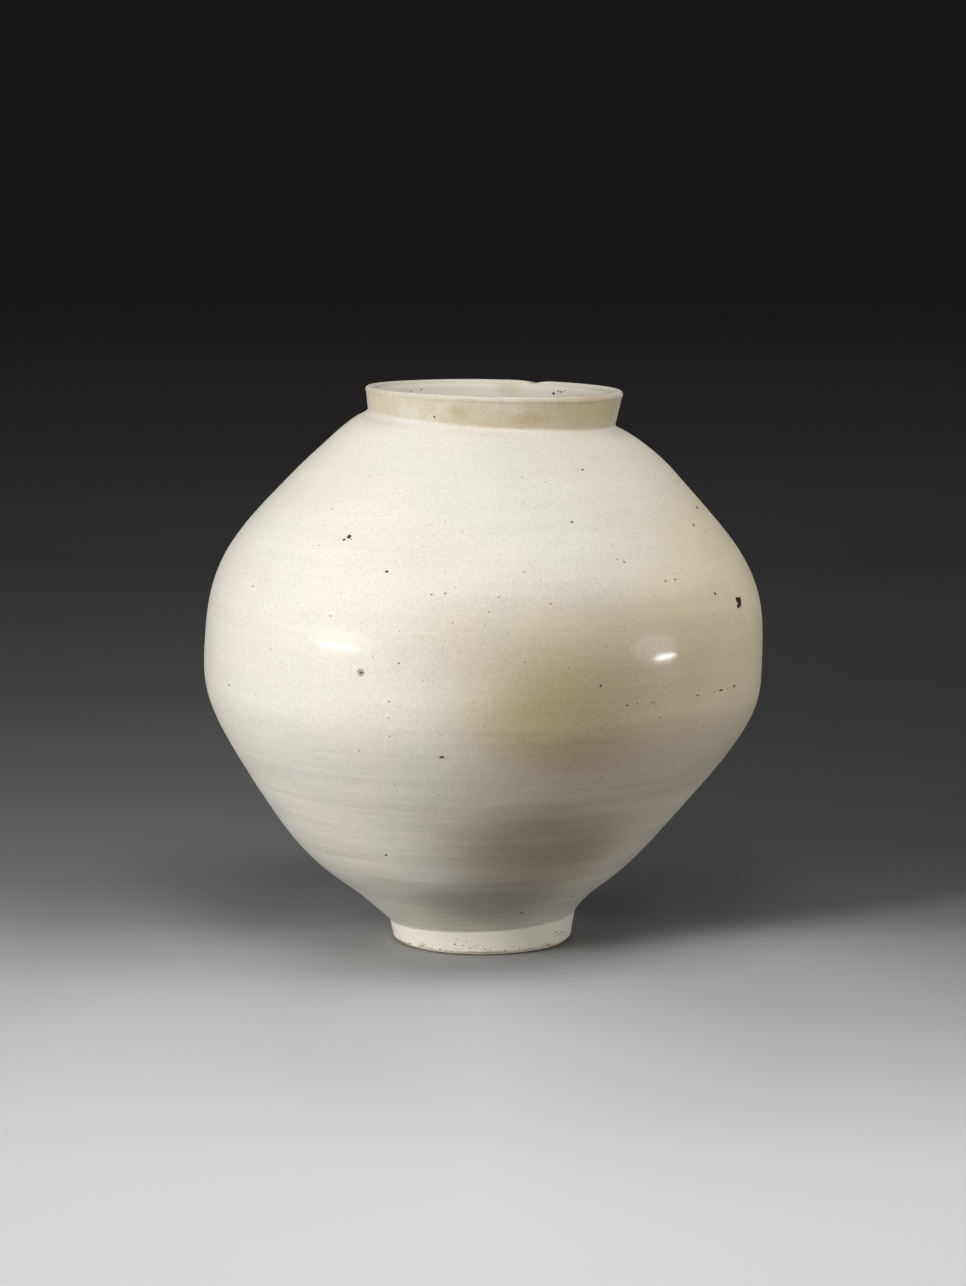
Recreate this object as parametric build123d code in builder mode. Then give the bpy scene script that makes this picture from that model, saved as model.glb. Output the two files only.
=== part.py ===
"""A large white porcelain storage jar, rounded like a full moon.

The potter throws two wide bowls, sets one upside down on the other and lutes their
edges together with slip. A coil wiped over the seam strengthens it from inside. A short
collar is luted on top and a foot ring below, and then the whole jar is glazed, all but
the edge that it stands on.

The jar stands on z = 0, with the middle of its belly over the origin. It has sagged in
the kiln: the lower body leans to -X, the neck leans to +X, and the collar and the foot
ring sit on slightly tilted joints. Millimetres and degrees throughout.
"""

import os
from dataclasses import dataclass
from math import hypot

from build123d import *

# Outside of the finished jar, glaze included
belly_radius = 222.1
belly_height = 221.0  # the widest level, where the two bowls meet
neck_radius = 97.8
neck_height = 418.7  # centre of the joint between shoulder and collar
neck_lean = 6.7  # the neck stands this far towards +X
neck_tilt = 3.76  # its joint falls towards +X
lip_radius = 101.9
collar_height = 24.1  # from the centre of its joint to the centre of the lip's crest
lip_lean = 9.1
lip_fall_right = 1.17  # the lip falls this many degrees towards +X
lip_fall_back = 0.73  # and this many towards +Y
foot_top_radius = 75.0
foot_height = 20.4  # centre of the joint between body and foot ring
foot_tilt = 2.33  # that joint rises towards +X
foot_lean = 0.7  # the foot ring stands this far towards -X
foot_low_radius = 70.6
lower_lean = 7.4  # the lower body leans this far towards -X

# Clay walls
wall_at_foot = 13.0
wall_at_belly = 8.0
wall_at_neck = 7.5
collar_wall = 9.0  # at its joint
lip_wall = 8.4  # glaze included
lip_round_share = 0.4  # of the lip's wall
floor_thickness = 13.0
floor_radius = 36.0  # the flat middle of the inside floor
foot_wall = 9.5  # where it stands
foot_root_wall = 16.9  # at its joint, where the recess under the jar is narrower
foot_outer_edge = 2.2
foot_inner_edge = 1.5

# Slip and glaze
slip = 0.8
glaze = 1.0
bare_foot = 3.0  # the glaze stops this far above the ground

# The coil wiped over the inside of the belly seam
coil_height = 26.0
coil_thickness = 2.6
coil_round_share = 0.7  # of its thickness

# Old damage
lip_chip_width = 14.0
lip_chip_depth = 2.4
lip_chip_azimuth = 71.0  # from +X towards +Y
foot_chip_radius = 2.6
foot_chip_azimuth = -131.0

overrun = 20.0  # how far a cutting body reaches past what it cuts

# The body's outline, from the foot joint (0) to the belly (1). Each station gives its
# height, its radius between the foot's and the belly's, its share of the lower lean and
# its share of the foot joint's tilt.
lower_body_shares = [
    (0.000, 0.000, 0.09, 1.00),
    (0.048, 0.061, 0.53, 0.51),
    (0.108, 0.151, 0.77, 0.21),
    (0.198, 0.307, 0.99, 0.00),
    (0.322, 0.474, 0.99, 0.00),
    (0.472, 0.634, 0.69, 0.00),
    (0.646, 0.806, 0.18, 0.00),
    (0.796, 0.930, -0.07, 0.00),
    (0.895, 0.982, -0.07, 0.00),
    (1.000, 1.000, 0.01, 0.00),
]
# From the belly (0) to the neck joint (1). The radius share falls from the belly's to
# the neck's, the others are shares of the neck's lean and tilt.
upper_body_shares = [
    (0.121, 0.998, 0.09, 0.00),
    (0.223, 0.987, 0.16, 0.00),
    (0.349, 0.943, 0.13, 0.00),
    (0.460, 0.862, 0.01, 0.00),
    (0.577, 0.728, -0.07, 0.00),
    (0.713, 0.537, 0.03, 0.00),
    (0.830, 0.357, 0.40, 0.16),
    (0.905, 0.224, 0.67, 0.43),
    (0.961, 0.111, 0.83, 0.745),
    (1.000, 0.000, 1.00, 1.00),
]
# The cavity leaves out the outline's lowest stations, where the clay is solid. The
# inside floor turns up into the wall at these shares of the way to the first of the rest.
solid_stations = 2
floor_turn_rise_share = 0.28
floor_turn_spread_share = 0.55


@dataclass
class Station:
    """One level of the body: a circle on a level or slightly tilted plane."""

    height: float
    radius: float
    lean: float
    tilt: float
    wall: float
    slant: float = 1.0  # how much wider a sloping wall is when measured level

    @property
    def plane(self):
        return Plane((self.lean, 0, self.height)).rotated((0, self.tilt, 0))


def body_stations():
    """The finished outside of the two bowls, from the foot joint to the neck joint."""
    stations = []
    for rise, spread, lean, tilt in lower_body_shares:
        stations.append(
            Station(
                height=foot_height + (belly_height - foot_height) * rise,
                radius=foot_top_radius + (belly_radius - foot_top_radius) * spread,
                lean=-lower_lean * lean,
                tilt=-foot_tilt * tilt,
                wall=wall_at_foot + (wall_at_belly - wall_at_foot) * rise,
            )
        )
    for rise, spread, lean, tilt in upper_body_shares:
        stations.append(
            Station(
                height=belly_height + (neck_height - belly_height) * rise,
                radius=neck_radius + (belly_radius - neck_radius) * spread,
                lean=neck_lean * lean,
                tilt=neck_tilt * tilt,
                wall=wall_at_belly + (wall_at_neck - wall_at_belly) * rise,
            )
        )
    for place, station in enumerate(stations):
        below = stations[max(place - 1, 0)]
        above = stations[min(place + 1, len(stations) - 1)]
        rise = above.height - below.height
        station.slant = hypot(rise, above.radius - below.radius) / rise
    return stations


body = body_stations()
foot_joint, neck_joint = body[0].plane, body[-1].plane
ground = Plane((-foot_lean, 0, 0))
lip = Plane((lip_lean, 0, neck_height + collar_height)).rotated((-lip_fall_back, lip_fall_right, 0))
bore_radius = neck_radius - glaze - collar_wall
recess_low_radius = foot_low_radius - glaze - foot_wall
recess_top_radius = foot_top_radius - glaze - foot_root_wall


def body_form(depth):
    """The solid body, with its surface this deep under the finished glaze."""
    with BuildPart() as form:
        for station in body:
            with BuildSketch(station.plane):
                Circle(station.radius - depth * station.slant)
        loft()
    return form.part


def tapered_form(low_plane, low_radius, high_plane, high_radius):
    """A straight-sided round solid between two planes that may be tilted."""
    with BuildPart() as form:
        with BuildSketch(low_plane):
            Circle(low_radius)
        with BuildSketch(high_plane):
            Circle(high_radius)
        loft(ruled=True)
    return form.part


def cavity_form(lining):
    """The hollow inside the two bowls, with its clay wall lined this thick."""
    walls = body[solid_stations:]
    first = walls[0]
    first_radius = first.radius - (glaze + first.wall + lining) * first.slant
    floor_height = foot_height + floor_thickness + lining
    flat_radius = floor_radius - lining
    turn_height = floor_height + (first.height - floor_height) * floor_turn_rise_share
    turn_radius = flat_radius + (first_radius - flat_radius) * floor_turn_spread_share
    with BuildPart() as form:
        with BuildSketch(Plane((first.lean, 0, floor_height))):
            Circle(flat_radius)
        with BuildSketch(Plane((first.lean, 0, turn_height))):
            Circle(turn_radius)
        for station in walls:
            with BuildSketch(station.plane):
                Circle(station.radius - (glaze + station.wall + lining) * station.slant)
        loft()
        # The opening is cut square through the shoulder, in line with the collar's bore.
        with BuildSketch(neck_joint):
            Circle(bore_radius - lining)
        extrude(amount=-overrun)
    return form.part


def coil_form(cover):
    """The coil over the seam, with this much glaze on it."""
    thickness = coil_thickness + cover
    reach = coil_height / 2 + cover
    with BuildPart() as form:
        add(cavity_form(0))
        split(bisect_by=Plane.XY.offset(belly_height + reach), keep=Keep.BOTTOM)
        split(bisect_by=Plane.XY.offset(belly_height - reach), keep=Keep.TOP)
        add(cavity_form(thickness), mode=Mode.SUBTRACT)
        flat_faces = form.faces().filter_by(GeomType.PLANE)
        edges = [face.inner_wires()[0].edges() for face in flat_faces]
        fillet(edges[0] + edges[1], coil_round_share * coil_thickness + cover)
    return form.part


def collar_form(depth):
    """The collar with its rounded lip, its surface this deep under the glaze."""
    crest = lip.offset(-depth)
    base_radius = neck_radius - depth * body[-1].slant
    with BuildPart() as form:
        add(tapered_form(neck_joint, base_radius, crest, lip_radius - depth))
        add(
            tapered_form(
                neck_joint, bore_radius - glaze + depth, crest, lip_radius - lip_wall + depth
            ),
            mode=Mode.SUBTRACT,
        )
        crest_face = form.faces().sort_by(Axis.Z)[-1]
        fillet(crest_face.edges(), lip_round_share * lip_wall - depth)
    return form.part


def foot_form(depth):
    """The foot without its recess, its surface this deep under the glaze."""
    top_radius = foot_top_radius - depth * body[0].slant
    return tapered_form(ground, foot_low_radius - depth, foot_joint, top_radius)


def recess_form(lining):
    """The recess under the jar, with its clay lined this thick."""
    roof = foot_joint.offset(-lining)
    return tapered_form(ground, recess_low_radius - lining, roof, recess_top_radius - lining)


def lip_chip():
    """A flake lost from the lip, as wide and as deep as a round bar laid across it."""
    radius = ((lip_chip_width / 2) ** 2 + lip_chip_depth**2) / (2 * lip_chip_depth)
    with BuildPart(lip) as form:
        with PolarLocations(lip_radius - lip_wall / 2, 1, start_angle=lip_chip_azimuth):
            with Locations((0, 0, radius - lip_chip_depth)):
                Cylinder(radius, lip_wall + overrun, rotation=(0, 90, 0))
    return form.part


def kept(name, part):
    """Label a finished piece and write it."""
    part.label = name
    export_step(part, f"parts/{name}.step")
    print(f"{name}: {len(part.solids())} solid, {part.volume / 1000:.1f} cm3")


# The clay of the two bowls, still in one piece, and the clay of the collar and the foot
body_clay = body_form(glaze)
cavity = cavity_form(0)
with BuildPart() as shell_clay:
    add(body_clay)
    add(cavity, mode=Mode.SUBTRACT)
collar_clay = collar_form(glaze)
with BuildPart() as foot_clay:
    add(foot_form(glaze))
    add(recess_form(0), mode=Mode.SUBTRACT)

seam_low = Plane.XY.offset(belly_height - slip / 2)
seam_high = Plane.XY.offset(belly_height + slip / 2)

# Lower bowl, with the floor of the jar
with BuildPart() as lower_bowl:
    add(shell_clay.part)
    split(bisect_by=seam_low, keep=Keep.BOTTOM)

# Upper bowl, thrown like the lower one and turned over, with its bottom cut out
with BuildPart() as upper_bowl:
    add(shell_clay.part)
    split(bisect_by=seam_high, keep=Keep.TOP)

# Slip that lutes the two bowls together
with BuildPart() as belly_slip:
    add(shell_clay.part)
    split(bisect_by=seam_low, keep=Keep.TOP)
    split(bisect_by=seam_high, keep=Keep.BOTTOM)

# Coil wiped over the inside of that seam
with BuildPart() as seam_coil:
    add(coil_form(0))

# Collar around the mouth, and the slip under it
with BuildPart() as mouth_collar:
    add(collar_clay)
    split(bisect_by=neck_joint.offset(slip), keep=Keep.TOP)
    add(lip_chip(), mode=Mode.SUBTRACT)

with BuildPart() as collar_slip:
    add(collar_clay)
    split(bisect_by=neck_joint.offset(slip), keep=Keep.BOTTOM)

# Foot ring, with the edges that it stands on rounded, and the slip over it
with BuildPart() as foot_ring:
    add(foot_clay.part)
    split(bisect_by=foot_joint.offset(-slip), keep=Keep.BOTTOM)
    fillet(foot_ring.faces().sort_by(Axis.Z)[0].outer_wire().edges(), foot_outer_edge)
    fillet(foot_ring.faces().sort_by(Axis.Z)[0].inner_wires()[0].edges(), foot_inner_edge)
    with PolarLocations(foot_low_radius - glaze, 1, start_angle=foot_chip_azimuth):
        Sphere(foot_chip_radius, mode=Mode.SUBTRACT)

with BuildPart() as foot_slip:
    add(foot_clay.part)
    split(bisect_by=foot_joint.offset(-slip), keep=Keep.TOP)

# Outer glaze, from just above the ground over foot, body and collar, round the lip and
# down the collar's bore to its joint. It is the finished outside, less the clay.
with BuildPart() as outer_glaze:
    add(body_form(0))
    add(collar_form(0))
    add(foot_form(0))
    add(body_clay, mode=Mode.SUBTRACT)
    add(collar_clay, mode=Mode.SUBTRACT)
    add(foot_form(glaze), mode=Mode.SUBTRACT)
    split(bisect_by=Plane.XY.offset(bare_foot), keep=Keep.TOP)
    add(lip_chip(), mode=Mode.SUBTRACT)

# Inner glaze, over the floor, wall and coil, up to the collar's joint
with BuildPart() as inner_glaze:
    add(cavity)
    add(cavity_form(glaze), mode=Mode.SUBTRACT)
    add(coil_form(glaze))
    add(seam_coil.part, mode=Mode.SUBTRACT)

# Glaze in the recess under the jar
with BuildPart() as base_glaze:
    add(recess_form(0))
    add(recess_form(glaze), mode=Mode.SUBTRACT)
    split(bisect_by=Plane.XY.offset(bare_foot), keep=Keep.TOP)

os.makedirs("parts", exist_ok=True)
kept("lower_bowl", lower_bowl.part)
kept("upper_bowl", upper_bowl.part)
kept("belly_slip", belly_slip.part)
kept("seam_coil", seam_coil.part)
kept("mouth_collar", mouth_collar.part)
kept("collar_slip", collar_slip.part)
kept("foot_ring", foot_ring.part)
kept("foot_slip", foot_slip.part)
kept("outer_glaze", outer_glaze.part)
kept("inner_glaze", inner_glaze.part)
kept("base_glaze", base_glaze.part)
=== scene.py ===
# %% [markdown]
# # A porcelain moon jar
#
# A moon jar is a large, nearly round storage jar of white porcelain. It was too big to
# throw in one pull, so the potter threw two wide bowls, turned one over on the other and
# luted their rims together. This lesson dresses a finished CAD model of such a jar. Its
# solids are exact but lifeless, so each glaze skin is thrown again here, with the dents,
# ripples and flaws that make the real jar what it is.

import math
import random

import bmesh
import bpy
import numpy as np
from mathutils import Matrix, Vector


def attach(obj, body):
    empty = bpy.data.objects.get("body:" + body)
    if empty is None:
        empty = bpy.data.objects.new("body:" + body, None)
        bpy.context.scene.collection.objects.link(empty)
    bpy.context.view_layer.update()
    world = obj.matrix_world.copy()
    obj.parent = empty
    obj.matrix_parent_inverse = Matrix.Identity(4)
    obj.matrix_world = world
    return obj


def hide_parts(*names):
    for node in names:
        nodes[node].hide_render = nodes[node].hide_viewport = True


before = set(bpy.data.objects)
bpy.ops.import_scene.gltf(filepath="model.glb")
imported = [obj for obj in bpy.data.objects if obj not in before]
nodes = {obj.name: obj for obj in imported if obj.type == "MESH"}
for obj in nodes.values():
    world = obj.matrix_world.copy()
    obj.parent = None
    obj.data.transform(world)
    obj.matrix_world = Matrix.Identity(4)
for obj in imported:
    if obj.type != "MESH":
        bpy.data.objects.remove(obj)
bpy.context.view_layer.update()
MM = 0.001
print("nodes:", sorted(nodes))

# %% [markdown]
# ## Camera
#
# The jar was photographed from a little above its lip, from about three metres, with a
# long lens that keeps its sides straight. Depth of field stays off and there is no shift,
# because the jar stands almost in the middle of the picture.

# %% Set the camera
PHOTO_HEIGHT = 1286  # pixels
FOCAL_LENGTH = 4011  # in the photograph's pixels
SENSOR = 36.0  # mm, along the photograph's height
CAMERA_PLACE = (0, -3.1627, 0.7037)
CAMERA_DIP = 8.359  # degrees below level
bpy.ops.object.select_all(action="DESELECT")
bpy.ops.object.camera_add(
    location=CAMERA_PLACE, rotation=(math.radians(90 - CAMERA_DIP), 0, 0)
)
camera = bpy.context.object
camera.name = "photo_camera"
camera.data.sensor_width = SENSOR
camera.data.lens = SENSOR * FOCAL_LENGTH / PHOTO_HEIGHT
bpy.context.scene.camera = camera
print(f"lens {camera.data.lens:.1f} mm")

# %% [markdown]
# ## The jar's outline
#
# A thrown form is a stack of rings. Each row below is one ring of the finished outside:
# its height, its radius, how far its centre has drifted sideways, how much it tilts, and
# how thick the clay is there, in millimetres and degrees. The drift and the tilt are what
# keeps a moon jar from being a perfect ball.

# %% Rings of the body, from the foot joint to the neck joint
BODY = [
    (20.4, 75.0, -0.67, -2.33, 13.0),
    (30.0, 84.0, -3.92, -1.19, 12.8),
    (42.1, 97.2, -5.70, -0.49, 12.5),
    (60.1, 120.2, -7.33, 0.00, 12.0),
    (85.0, 144.7, -7.33, 0.00, 11.4),
    (115.1, 168.3, -5.11, 0.00, 10.6),
    (150.0, 193.6, -1.33, 0.00, 9.8),
    (180.1, 211.8, 0.52, 0.00, 9.0),
    (199.9, 219.5, 0.52, 0.00, 8.5),
    (221.0, 222.1, -0.07, 0.00, 8.0),
    (244.9, 221.9, 0.60, 0.00, 7.9),
    (265.1, 220.5, 1.07, 0.00, 7.9),
    (290.0, 215.0, 0.87, 0.00, 7.8),
    (311.9, 204.9, 0.07, 0.00, 7.8),
    (335.1, 188.3, -0.47, 0.00, 7.7),
    (362.0, 164.5, 0.20, 0.00, 7.6),
    (385.1, 142.2, 2.68, 0.60, 7.6),
    (399.9, 125.6, 4.49, 1.62, 7.5),
    (411.0, 111.6, 5.56, 2.80, 7.5),
    (418.7, 97.8, 6.70, 3.76, 7.5),
]
GLAZE = 1.0  # thickness of the glaze
SEAM_HEIGHT = 221.0  # where the two bowls meet

# From here on a ring is (height, radius, drift x, drift y, tilt about y, tilt about x)
measured = np.array([(h, r, x, 0, tilt, 0) for h, r, x, tilt, _ in BODY])
GROUND = np.array([0, 70.6, -0.7, 0, 0, 0])
FOOT_JOINT = measured[0]
NECK_JOINT = measured[-1]
LIP = np.array([442.8, 101.9, 9.1, 0, 1.17, -0.73])
LIP_WALL = 8.4
BORE_RADIUS = 86.8  # inside of the collar at its joint
print(f"{len(BODY)} rings from {BODY[0][0]} to {BODY[-1][0]} mm")

# %% [markdown]
# ## Smooth rings between the measured ones
#
# Twenty rings are enough to describe the jar, but not to throw it. A cubic spline through
# them gives as many as the surface needs. Subdivision then pulls every ring a little
# inwards, so each is first pushed out by the same amount, and the finished surface passes
# through the measured rings.


# %% The helper that draws a smooth line through rings
def spline(points, places):
    """The smooth curve through points, read at these shares of its length."""
    points = np.array(points, float)
    steps = np.linalg.norm(np.diff(points[:, :2], axis=0), axis=1)
    along = np.concatenate([[0], np.cumsum(steps)])
    count = len(points)
    matrix, right = np.eye(count), np.zeros_like(points)
    for i in range(1, count - 1):
        before, after = steps[i - 1], steps[i]
        matrix[i, i - 1 : i + 2] = before, 2 * (before + after), after
        right[i] = 6 * (
            (points[i + 1] - points[i]) / after - (points[i] - points[i - 1]) / before
        )
    bend = np.linalg.solve(matrix, right)
    curve = []
    for s in np.array(places) * along[-1]:
        i = int(np.clip(np.searchsorted(along, s) - 1, 0, count - 2))
        a, b, step = along[i + 1] - s, s - along[i], steps[i]
        curve.append(
            bend[i] * a**3 / (6 * step)
            + bend[i + 1] * b**3 / (6 * step)
            + (points[i] / step - bend[i] * step / 6) * a
            + (points[i + 1] / step - bend[i + 1] * step / 6) * b
        )
    return np.array(curve)


# Where the rings lie, in shares of the way up. They crowd together near both joints, so
# that the corners there stay crisp
BY_FOOT = [0.006, 0.014, 0.024]
ON_BODY = list(np.linspace(0.038, 0.975, 40))
BY_NECK = [0.985, 0.993]
body_rings = spline(measured, BY_FOOT + ON_BODY + BY_NECK)
print(f"{len(body_rings)} rings on the body")


# %% Helpers that place rings
def between(low, high, shares):
    """Rings on the straight wall from one ring to another."""
    return np.array([low + (high - low) * share for share in shares])


def sunk(rings, depth):
    """The same rings, each moved this far into the wall, square to it."""
    rings = np.array(rings, float)
    run = np.gradient(rings[:, :2], axis=0)
    run /= np.linalg.norm(run, axis=1)[:, None]
    moved = rings.copy()
    moved[:, 0] += run[:, 1] * depth
    moved[:, 1] -= run[:, 0] * depth
    return moved


def sharpened(rings, closed):
    """Rings pushed out by what subdivision will pull in."""
    if closed:
        before, after = np.roll(rings, 1, axis=0), np.roll(rings, -1, axis=0)
    else:
        before = np.vstack([rings[:1], rings[:-1]])
        after = np.vstack([rings[1:], rings[-1:]])
    return rings - (before - 2 * rings + after) / 6


def centre_of(ring):
    """The middle of a ring, in metres."""
    return (ring[2] * MM, ring[3] * MM, ring[0] * MM)


belly = max(body_rings, key=lambda ring: ring[1])
print("middle of the widest ring, m:", [round(v, 4) for v in centre_of(belly)])

# %% [markdown]
# ## Throwing a skin
#
# A potter opens a ring of clay and pulls it up, narrowing or widening it as it rises. The
# same is done here in edit mode: one circle is added, and then extruded, moved, resized
# and tilted from ring to ring. A Screw modifier would be quicker, but it turns one outline
# round one axis, and this jar's rings drift and tilt. A glaze skin has two sides, so the
# rings go up the outside and come back down on the clay. Bridging the last ring to the
# first closes the skin.


# %% Helpers that throw a skin
def turned(ring, about_y, about_x):
    """Tilt what is selected about the ring's own centre."""
    for angle, axis in ((about_y, "Y"), (about_x, "X")):
        if abs(angle) > 1e-6:
            # With no window, rotate turns the other way, hence the minus sign.
            bpy.ops.transform.rotate(
                value=-math.radians(angle), orient_axis=axis, center_override=centre_of(ring)
            )


def thrown(name, rings, segments, closed=True):
    """A skin pulled up through these rings, with quads between them."""
    rings = sharpened(np.array(rings, float), closed)
    # Subdivision draws a ring of so many segments inwards, so it starts wider by this
    gain = 3 / (2 + math.cos(2 * math.pi / segments))
    first = rings[0]
    bpy.ops.object.select_all(action="DESELECT")
    bpy.ops.mesh.primitive_circle_add(
        vertices=segments, radius=first[1] * gain * MM, location=centre_of(first)
    )
    skin = bpy.context.object
    skin.name = skin.data.name = name
    bpy.ops.object.transform_apply(location=True, rotation=True, scale=True)
    bpy.ops.object.mode_set(mode="EDIT")
    bpy.ops.mesh.select_mode(type="VERT")
    bpy.ops.mesh.select_all(action="SELECT")
    turned(first, first[4], first[5])
    for before, ring in zip(rings, rings[1:]):
        move = [to - start for start, to in zip(centre_of(before), centre_of(ring))]
        bpy.ops.mesh.extrude_region_move(TRANSFORM_OT_translate={"value": move})
        size = ring[1] / before[1]
        bpy.ops.transform.resize(value=(size, size, size), center_override=centre_of(ring))
        turned(ring, ring[4] - before[4], ring[5] - before[5])
    bpy.ops.object.mode_set(mode="OBJECT")
    return skin


def chose(obj, wanted):
    """Select, in edit mode, the vertices that pass this test."""
    bpy.ops.object.select_all(action="DESELECT")
    bpy.context.view_layer.objects.active = obj
    obj.select_set(True)
    bpy.ops.object.mode_set(mode="EDIT")
    bpy.ops.mesh.select_mode(type="VERT")
    bpy.ops.mesh.select_all(action="DESELECT")
    mesh = bmesh.from_edit_mesh(obj.data)
    for vertex in mesh.verts:
        vertex.select = wanted(vertex)
    mesh.select_flush_mode()
    bmesh.update_edit_mesh(obj.data)


print("throwing: circle, extrude, resize and tilt, ring by ring")


# %% Helpers that finish a skin
def faced(skin):
    """Turn every face outwards, and shade the skin smooth."""
    chose(skin, lambda vertex: True)
    bpy.ops.mesh.normals_make_consistent(inside=False)
    bpy.ops.object.mode_set(mode="OBJECT")
    bpy.ops.object.shade_smooth()


def closed_up(skin, segments):
    """Bridge the last ring to the first."""
    last = len(skin.data.vertices) - segments
    chose(skin, lambda vertex: vertex.index < segments or vertex.index >= last)
    bpy.ops.mesh.bridge_edge_loops()
    bpy.ops.object.mode_set(mode="OBJECT")
    faced(skin)


def grouped(skin, segments, weights):
    """Give each ring its weight in the vertex group that ripples may move."""
    shown = skin.vertex_groups.new(name="shown")
    for ring, weight in enumerate(weights):
        shown.add(list(range(ring * segments, (ring + 1) * segments)), weight, "REPLACE")


def subdivided(skin, levels=2):
    """Round the skin off with subdivision, and apply it."""
    modifier = skin.modifiers.new("roundness", "SUBSURF")
    modifier.levels = modifier.render_levels = levels
    bpy.context.view_layer.objects.active = skin
    bpy.ops.object.modifier_apply(modifier=modifier.name)


print("finishing: bridge, face outwards, weigh and subdivide")

# %% [markdown]
# ## The outer glaze
#
# The skin starts just above the ground, where the potter wiped the glaze off so that the
# jar wouldn't stick to its kiln shelf. It goes up the foot, fills the corner under the
# body, crosses the belly and the shoulder, and fills the corner of the neck. Then it wraps
# the lip, whose round edge is two quarter arcs, and goes down into the mouth.

# %% Rings of the lip
LIP_ROUNDING = 0.4  # radius of the lip's edges, as a share of its wall
lip_round = LIP_ROUNDING * LIP_WALL
collar_height = LIP[0] - NECK_JOINT[0]


def lip_ring(drop, inwards):
    """A ring in the lip's own plane: this far under its crest, this far in from its edge."""
    ring = between(NECK_JOINT, LIP, [1 - drop / collar_height])[0]
    ring[1] = LIP[1] - inwards
    return ring


ARC = [math.radians(angle) for angle in (0, 25, 50, 75)]
drops = [lip_round * (1 - math.sin(angle)) for angle in ARC]
insets = [lip_round * (1 - math.cos(angle)) for angle in ARC]
outer_arc = [lip_ring(drop, inset) for drop, inset in zip(drops, insets)]
inner_arc = [lip_ring(drop, LIP_WALL - inset) for drop, inset in zip(drops, insets)][::-1]
print(f"edges of {lip_round:.2f} mm radius on a lip of {LIP_WALL} mm")

# %% Rings of the outer glaze
bore_joint = NECK_JOINT.copy()
bore_joint[1] = BORE_RADIUS
bore_lip = LIP.copy()
bore_lip[1] = LIP[1] - LIP_WALL
# Where the rings lie on the three straight walls, in shares of each wall's height
FOOT_SHARES = (0.15, 0.25, 0.4, 0.6, 0.78, 0.9, 0.97)
COLLAR_SHARES = (0.05, 0.14, 0.3, 0.5, 0.7, 0.8)
BORE_SHARES = (0.25, 0.45, 0.7, 0.9, 0.985)
foot_side = between(GROUND, FOOT_JOINT, FOOT_SHARES)
collar_side = between(NECK_JOINT, LIP, COLLAR_SHARES)
bore_side = between(bore_lip, bore_joint, BORE_SHARES)
shown_rings = np.vstack(
    [foot_side, body_rings, collar_side, outer_arc, inner_arc, bore_side]
)
# On the clay, where nobody looks, every third ring is enough
hidden_rings = sunk(shown_rings, GLAZE)[::-1][::3]
print(f"outer glaze: {len(shown_rings)} rings shown and {len(hidden_rings)} on the clay")

# %% Throw the outer glaze
OUTER_SEGMENTS = 64
outer_glaze = thrown(
    "outer_glaze_skin", np.vstack([shown_rings, hidden_rings]), OUTER_SEGMENTS
)
closed_up(outer_glaze, OUTER_SEGMENTS)
# Ripples press the body in fully, the rim less, and both ends of the skin not at all
RIM_RINGS = 24
body_weights = [0, 0.5] + [1] * (len(shown_rings) - RIM_RINGS - 4)
rim_weights = [0.3] * RIM_RINGS + [0.2, 0]
grouped(outer_glaze, OUTER_SEGMENTS, body_weights + rim_weights + [0] * len(hidden_rings))
subdivided(outer_glaze)
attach(outer_glaze, "root")
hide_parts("outer_glaze")
print(f"{outer_glaze.name}: {len(outer_glaze.data.polygons)} faces")

# %% [markdown]
# ## Ripples of the wheel
#
# No thrown wall is a true surface. Fingers leave low ripples that run round the jar, and
# drying bends it by a fraction of a millimetre. A bump in the material could draw the
# ripples, but not move the jar's outline or the edges of its highlights, so here the mesh
# itself is pressed in. A cloud texture stretched level by an empty gives the ripples, and
# a large one gives the bend. Both only ever press the skin inwards, so that the jar keeps
# its size.


# %% Ripple the outer glaze
def rippled(skin, name, depth, size, seed_at):
    """Press the skin in by up to this depth, in clouds of this size (across, up)."""
    clouds = bpy.data.textures.new(name, "CLOUDS")
    clouds.noise_scale = 1.0
    clouds.noise_depth = 1
    bpy.ops.object.select_all(action="DESELECT")
    bpy.ops.object.empty_add(location=seed_at)
    guide = bpy.context.object
    across, up = size
    guide.scale = (across * MM, across * MM, up * MM)
    modifier = skin.modifiers.new(name, "DISPLACE")
    modifier.texture = clouds
    modifier.texture_coords = "OBJECT"
    modifier.texture_coords_object = guide
    modifier.vertex_group = "shown"
    modifier.mid_level = 1.0
    modifier.strength = depth * MM
    bpy.context.view_layer.update()
    bpy.context.view_layer.objects.active = skin
    bpy.ops.object.modifier_apply(modifier=name)
    bpy.data.objects.remove(guide)
    bpy.data.textures.remove(clouds)


# Depth, size across and up, and a place in the clouds, which gives each its own pattern
FINGER_RIPPLES = (0.28, (420, 13), (0.3, 0.1, 0.05))
DRYING_BEND = (0.25, (160, 110), (0.7, 0.4, 0.2))
rippled(outer_glaze, "finger_ripples", *FINGER_RIPPLES)
rippled(outer_glaze, "drying_bend", *DRYING_BEND)
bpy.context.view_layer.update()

# %% [markdown]
# ## The collar under the glaze
#
# Inside the glaze of the neck stands the collar's own clay. It would stay unseen, but the
# lip is about to be chipped, and glaze and clay break off together there. So the collar is
# thrown as the skin was, a little deeper than the glaze, and is ready to be chipped too.

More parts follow.
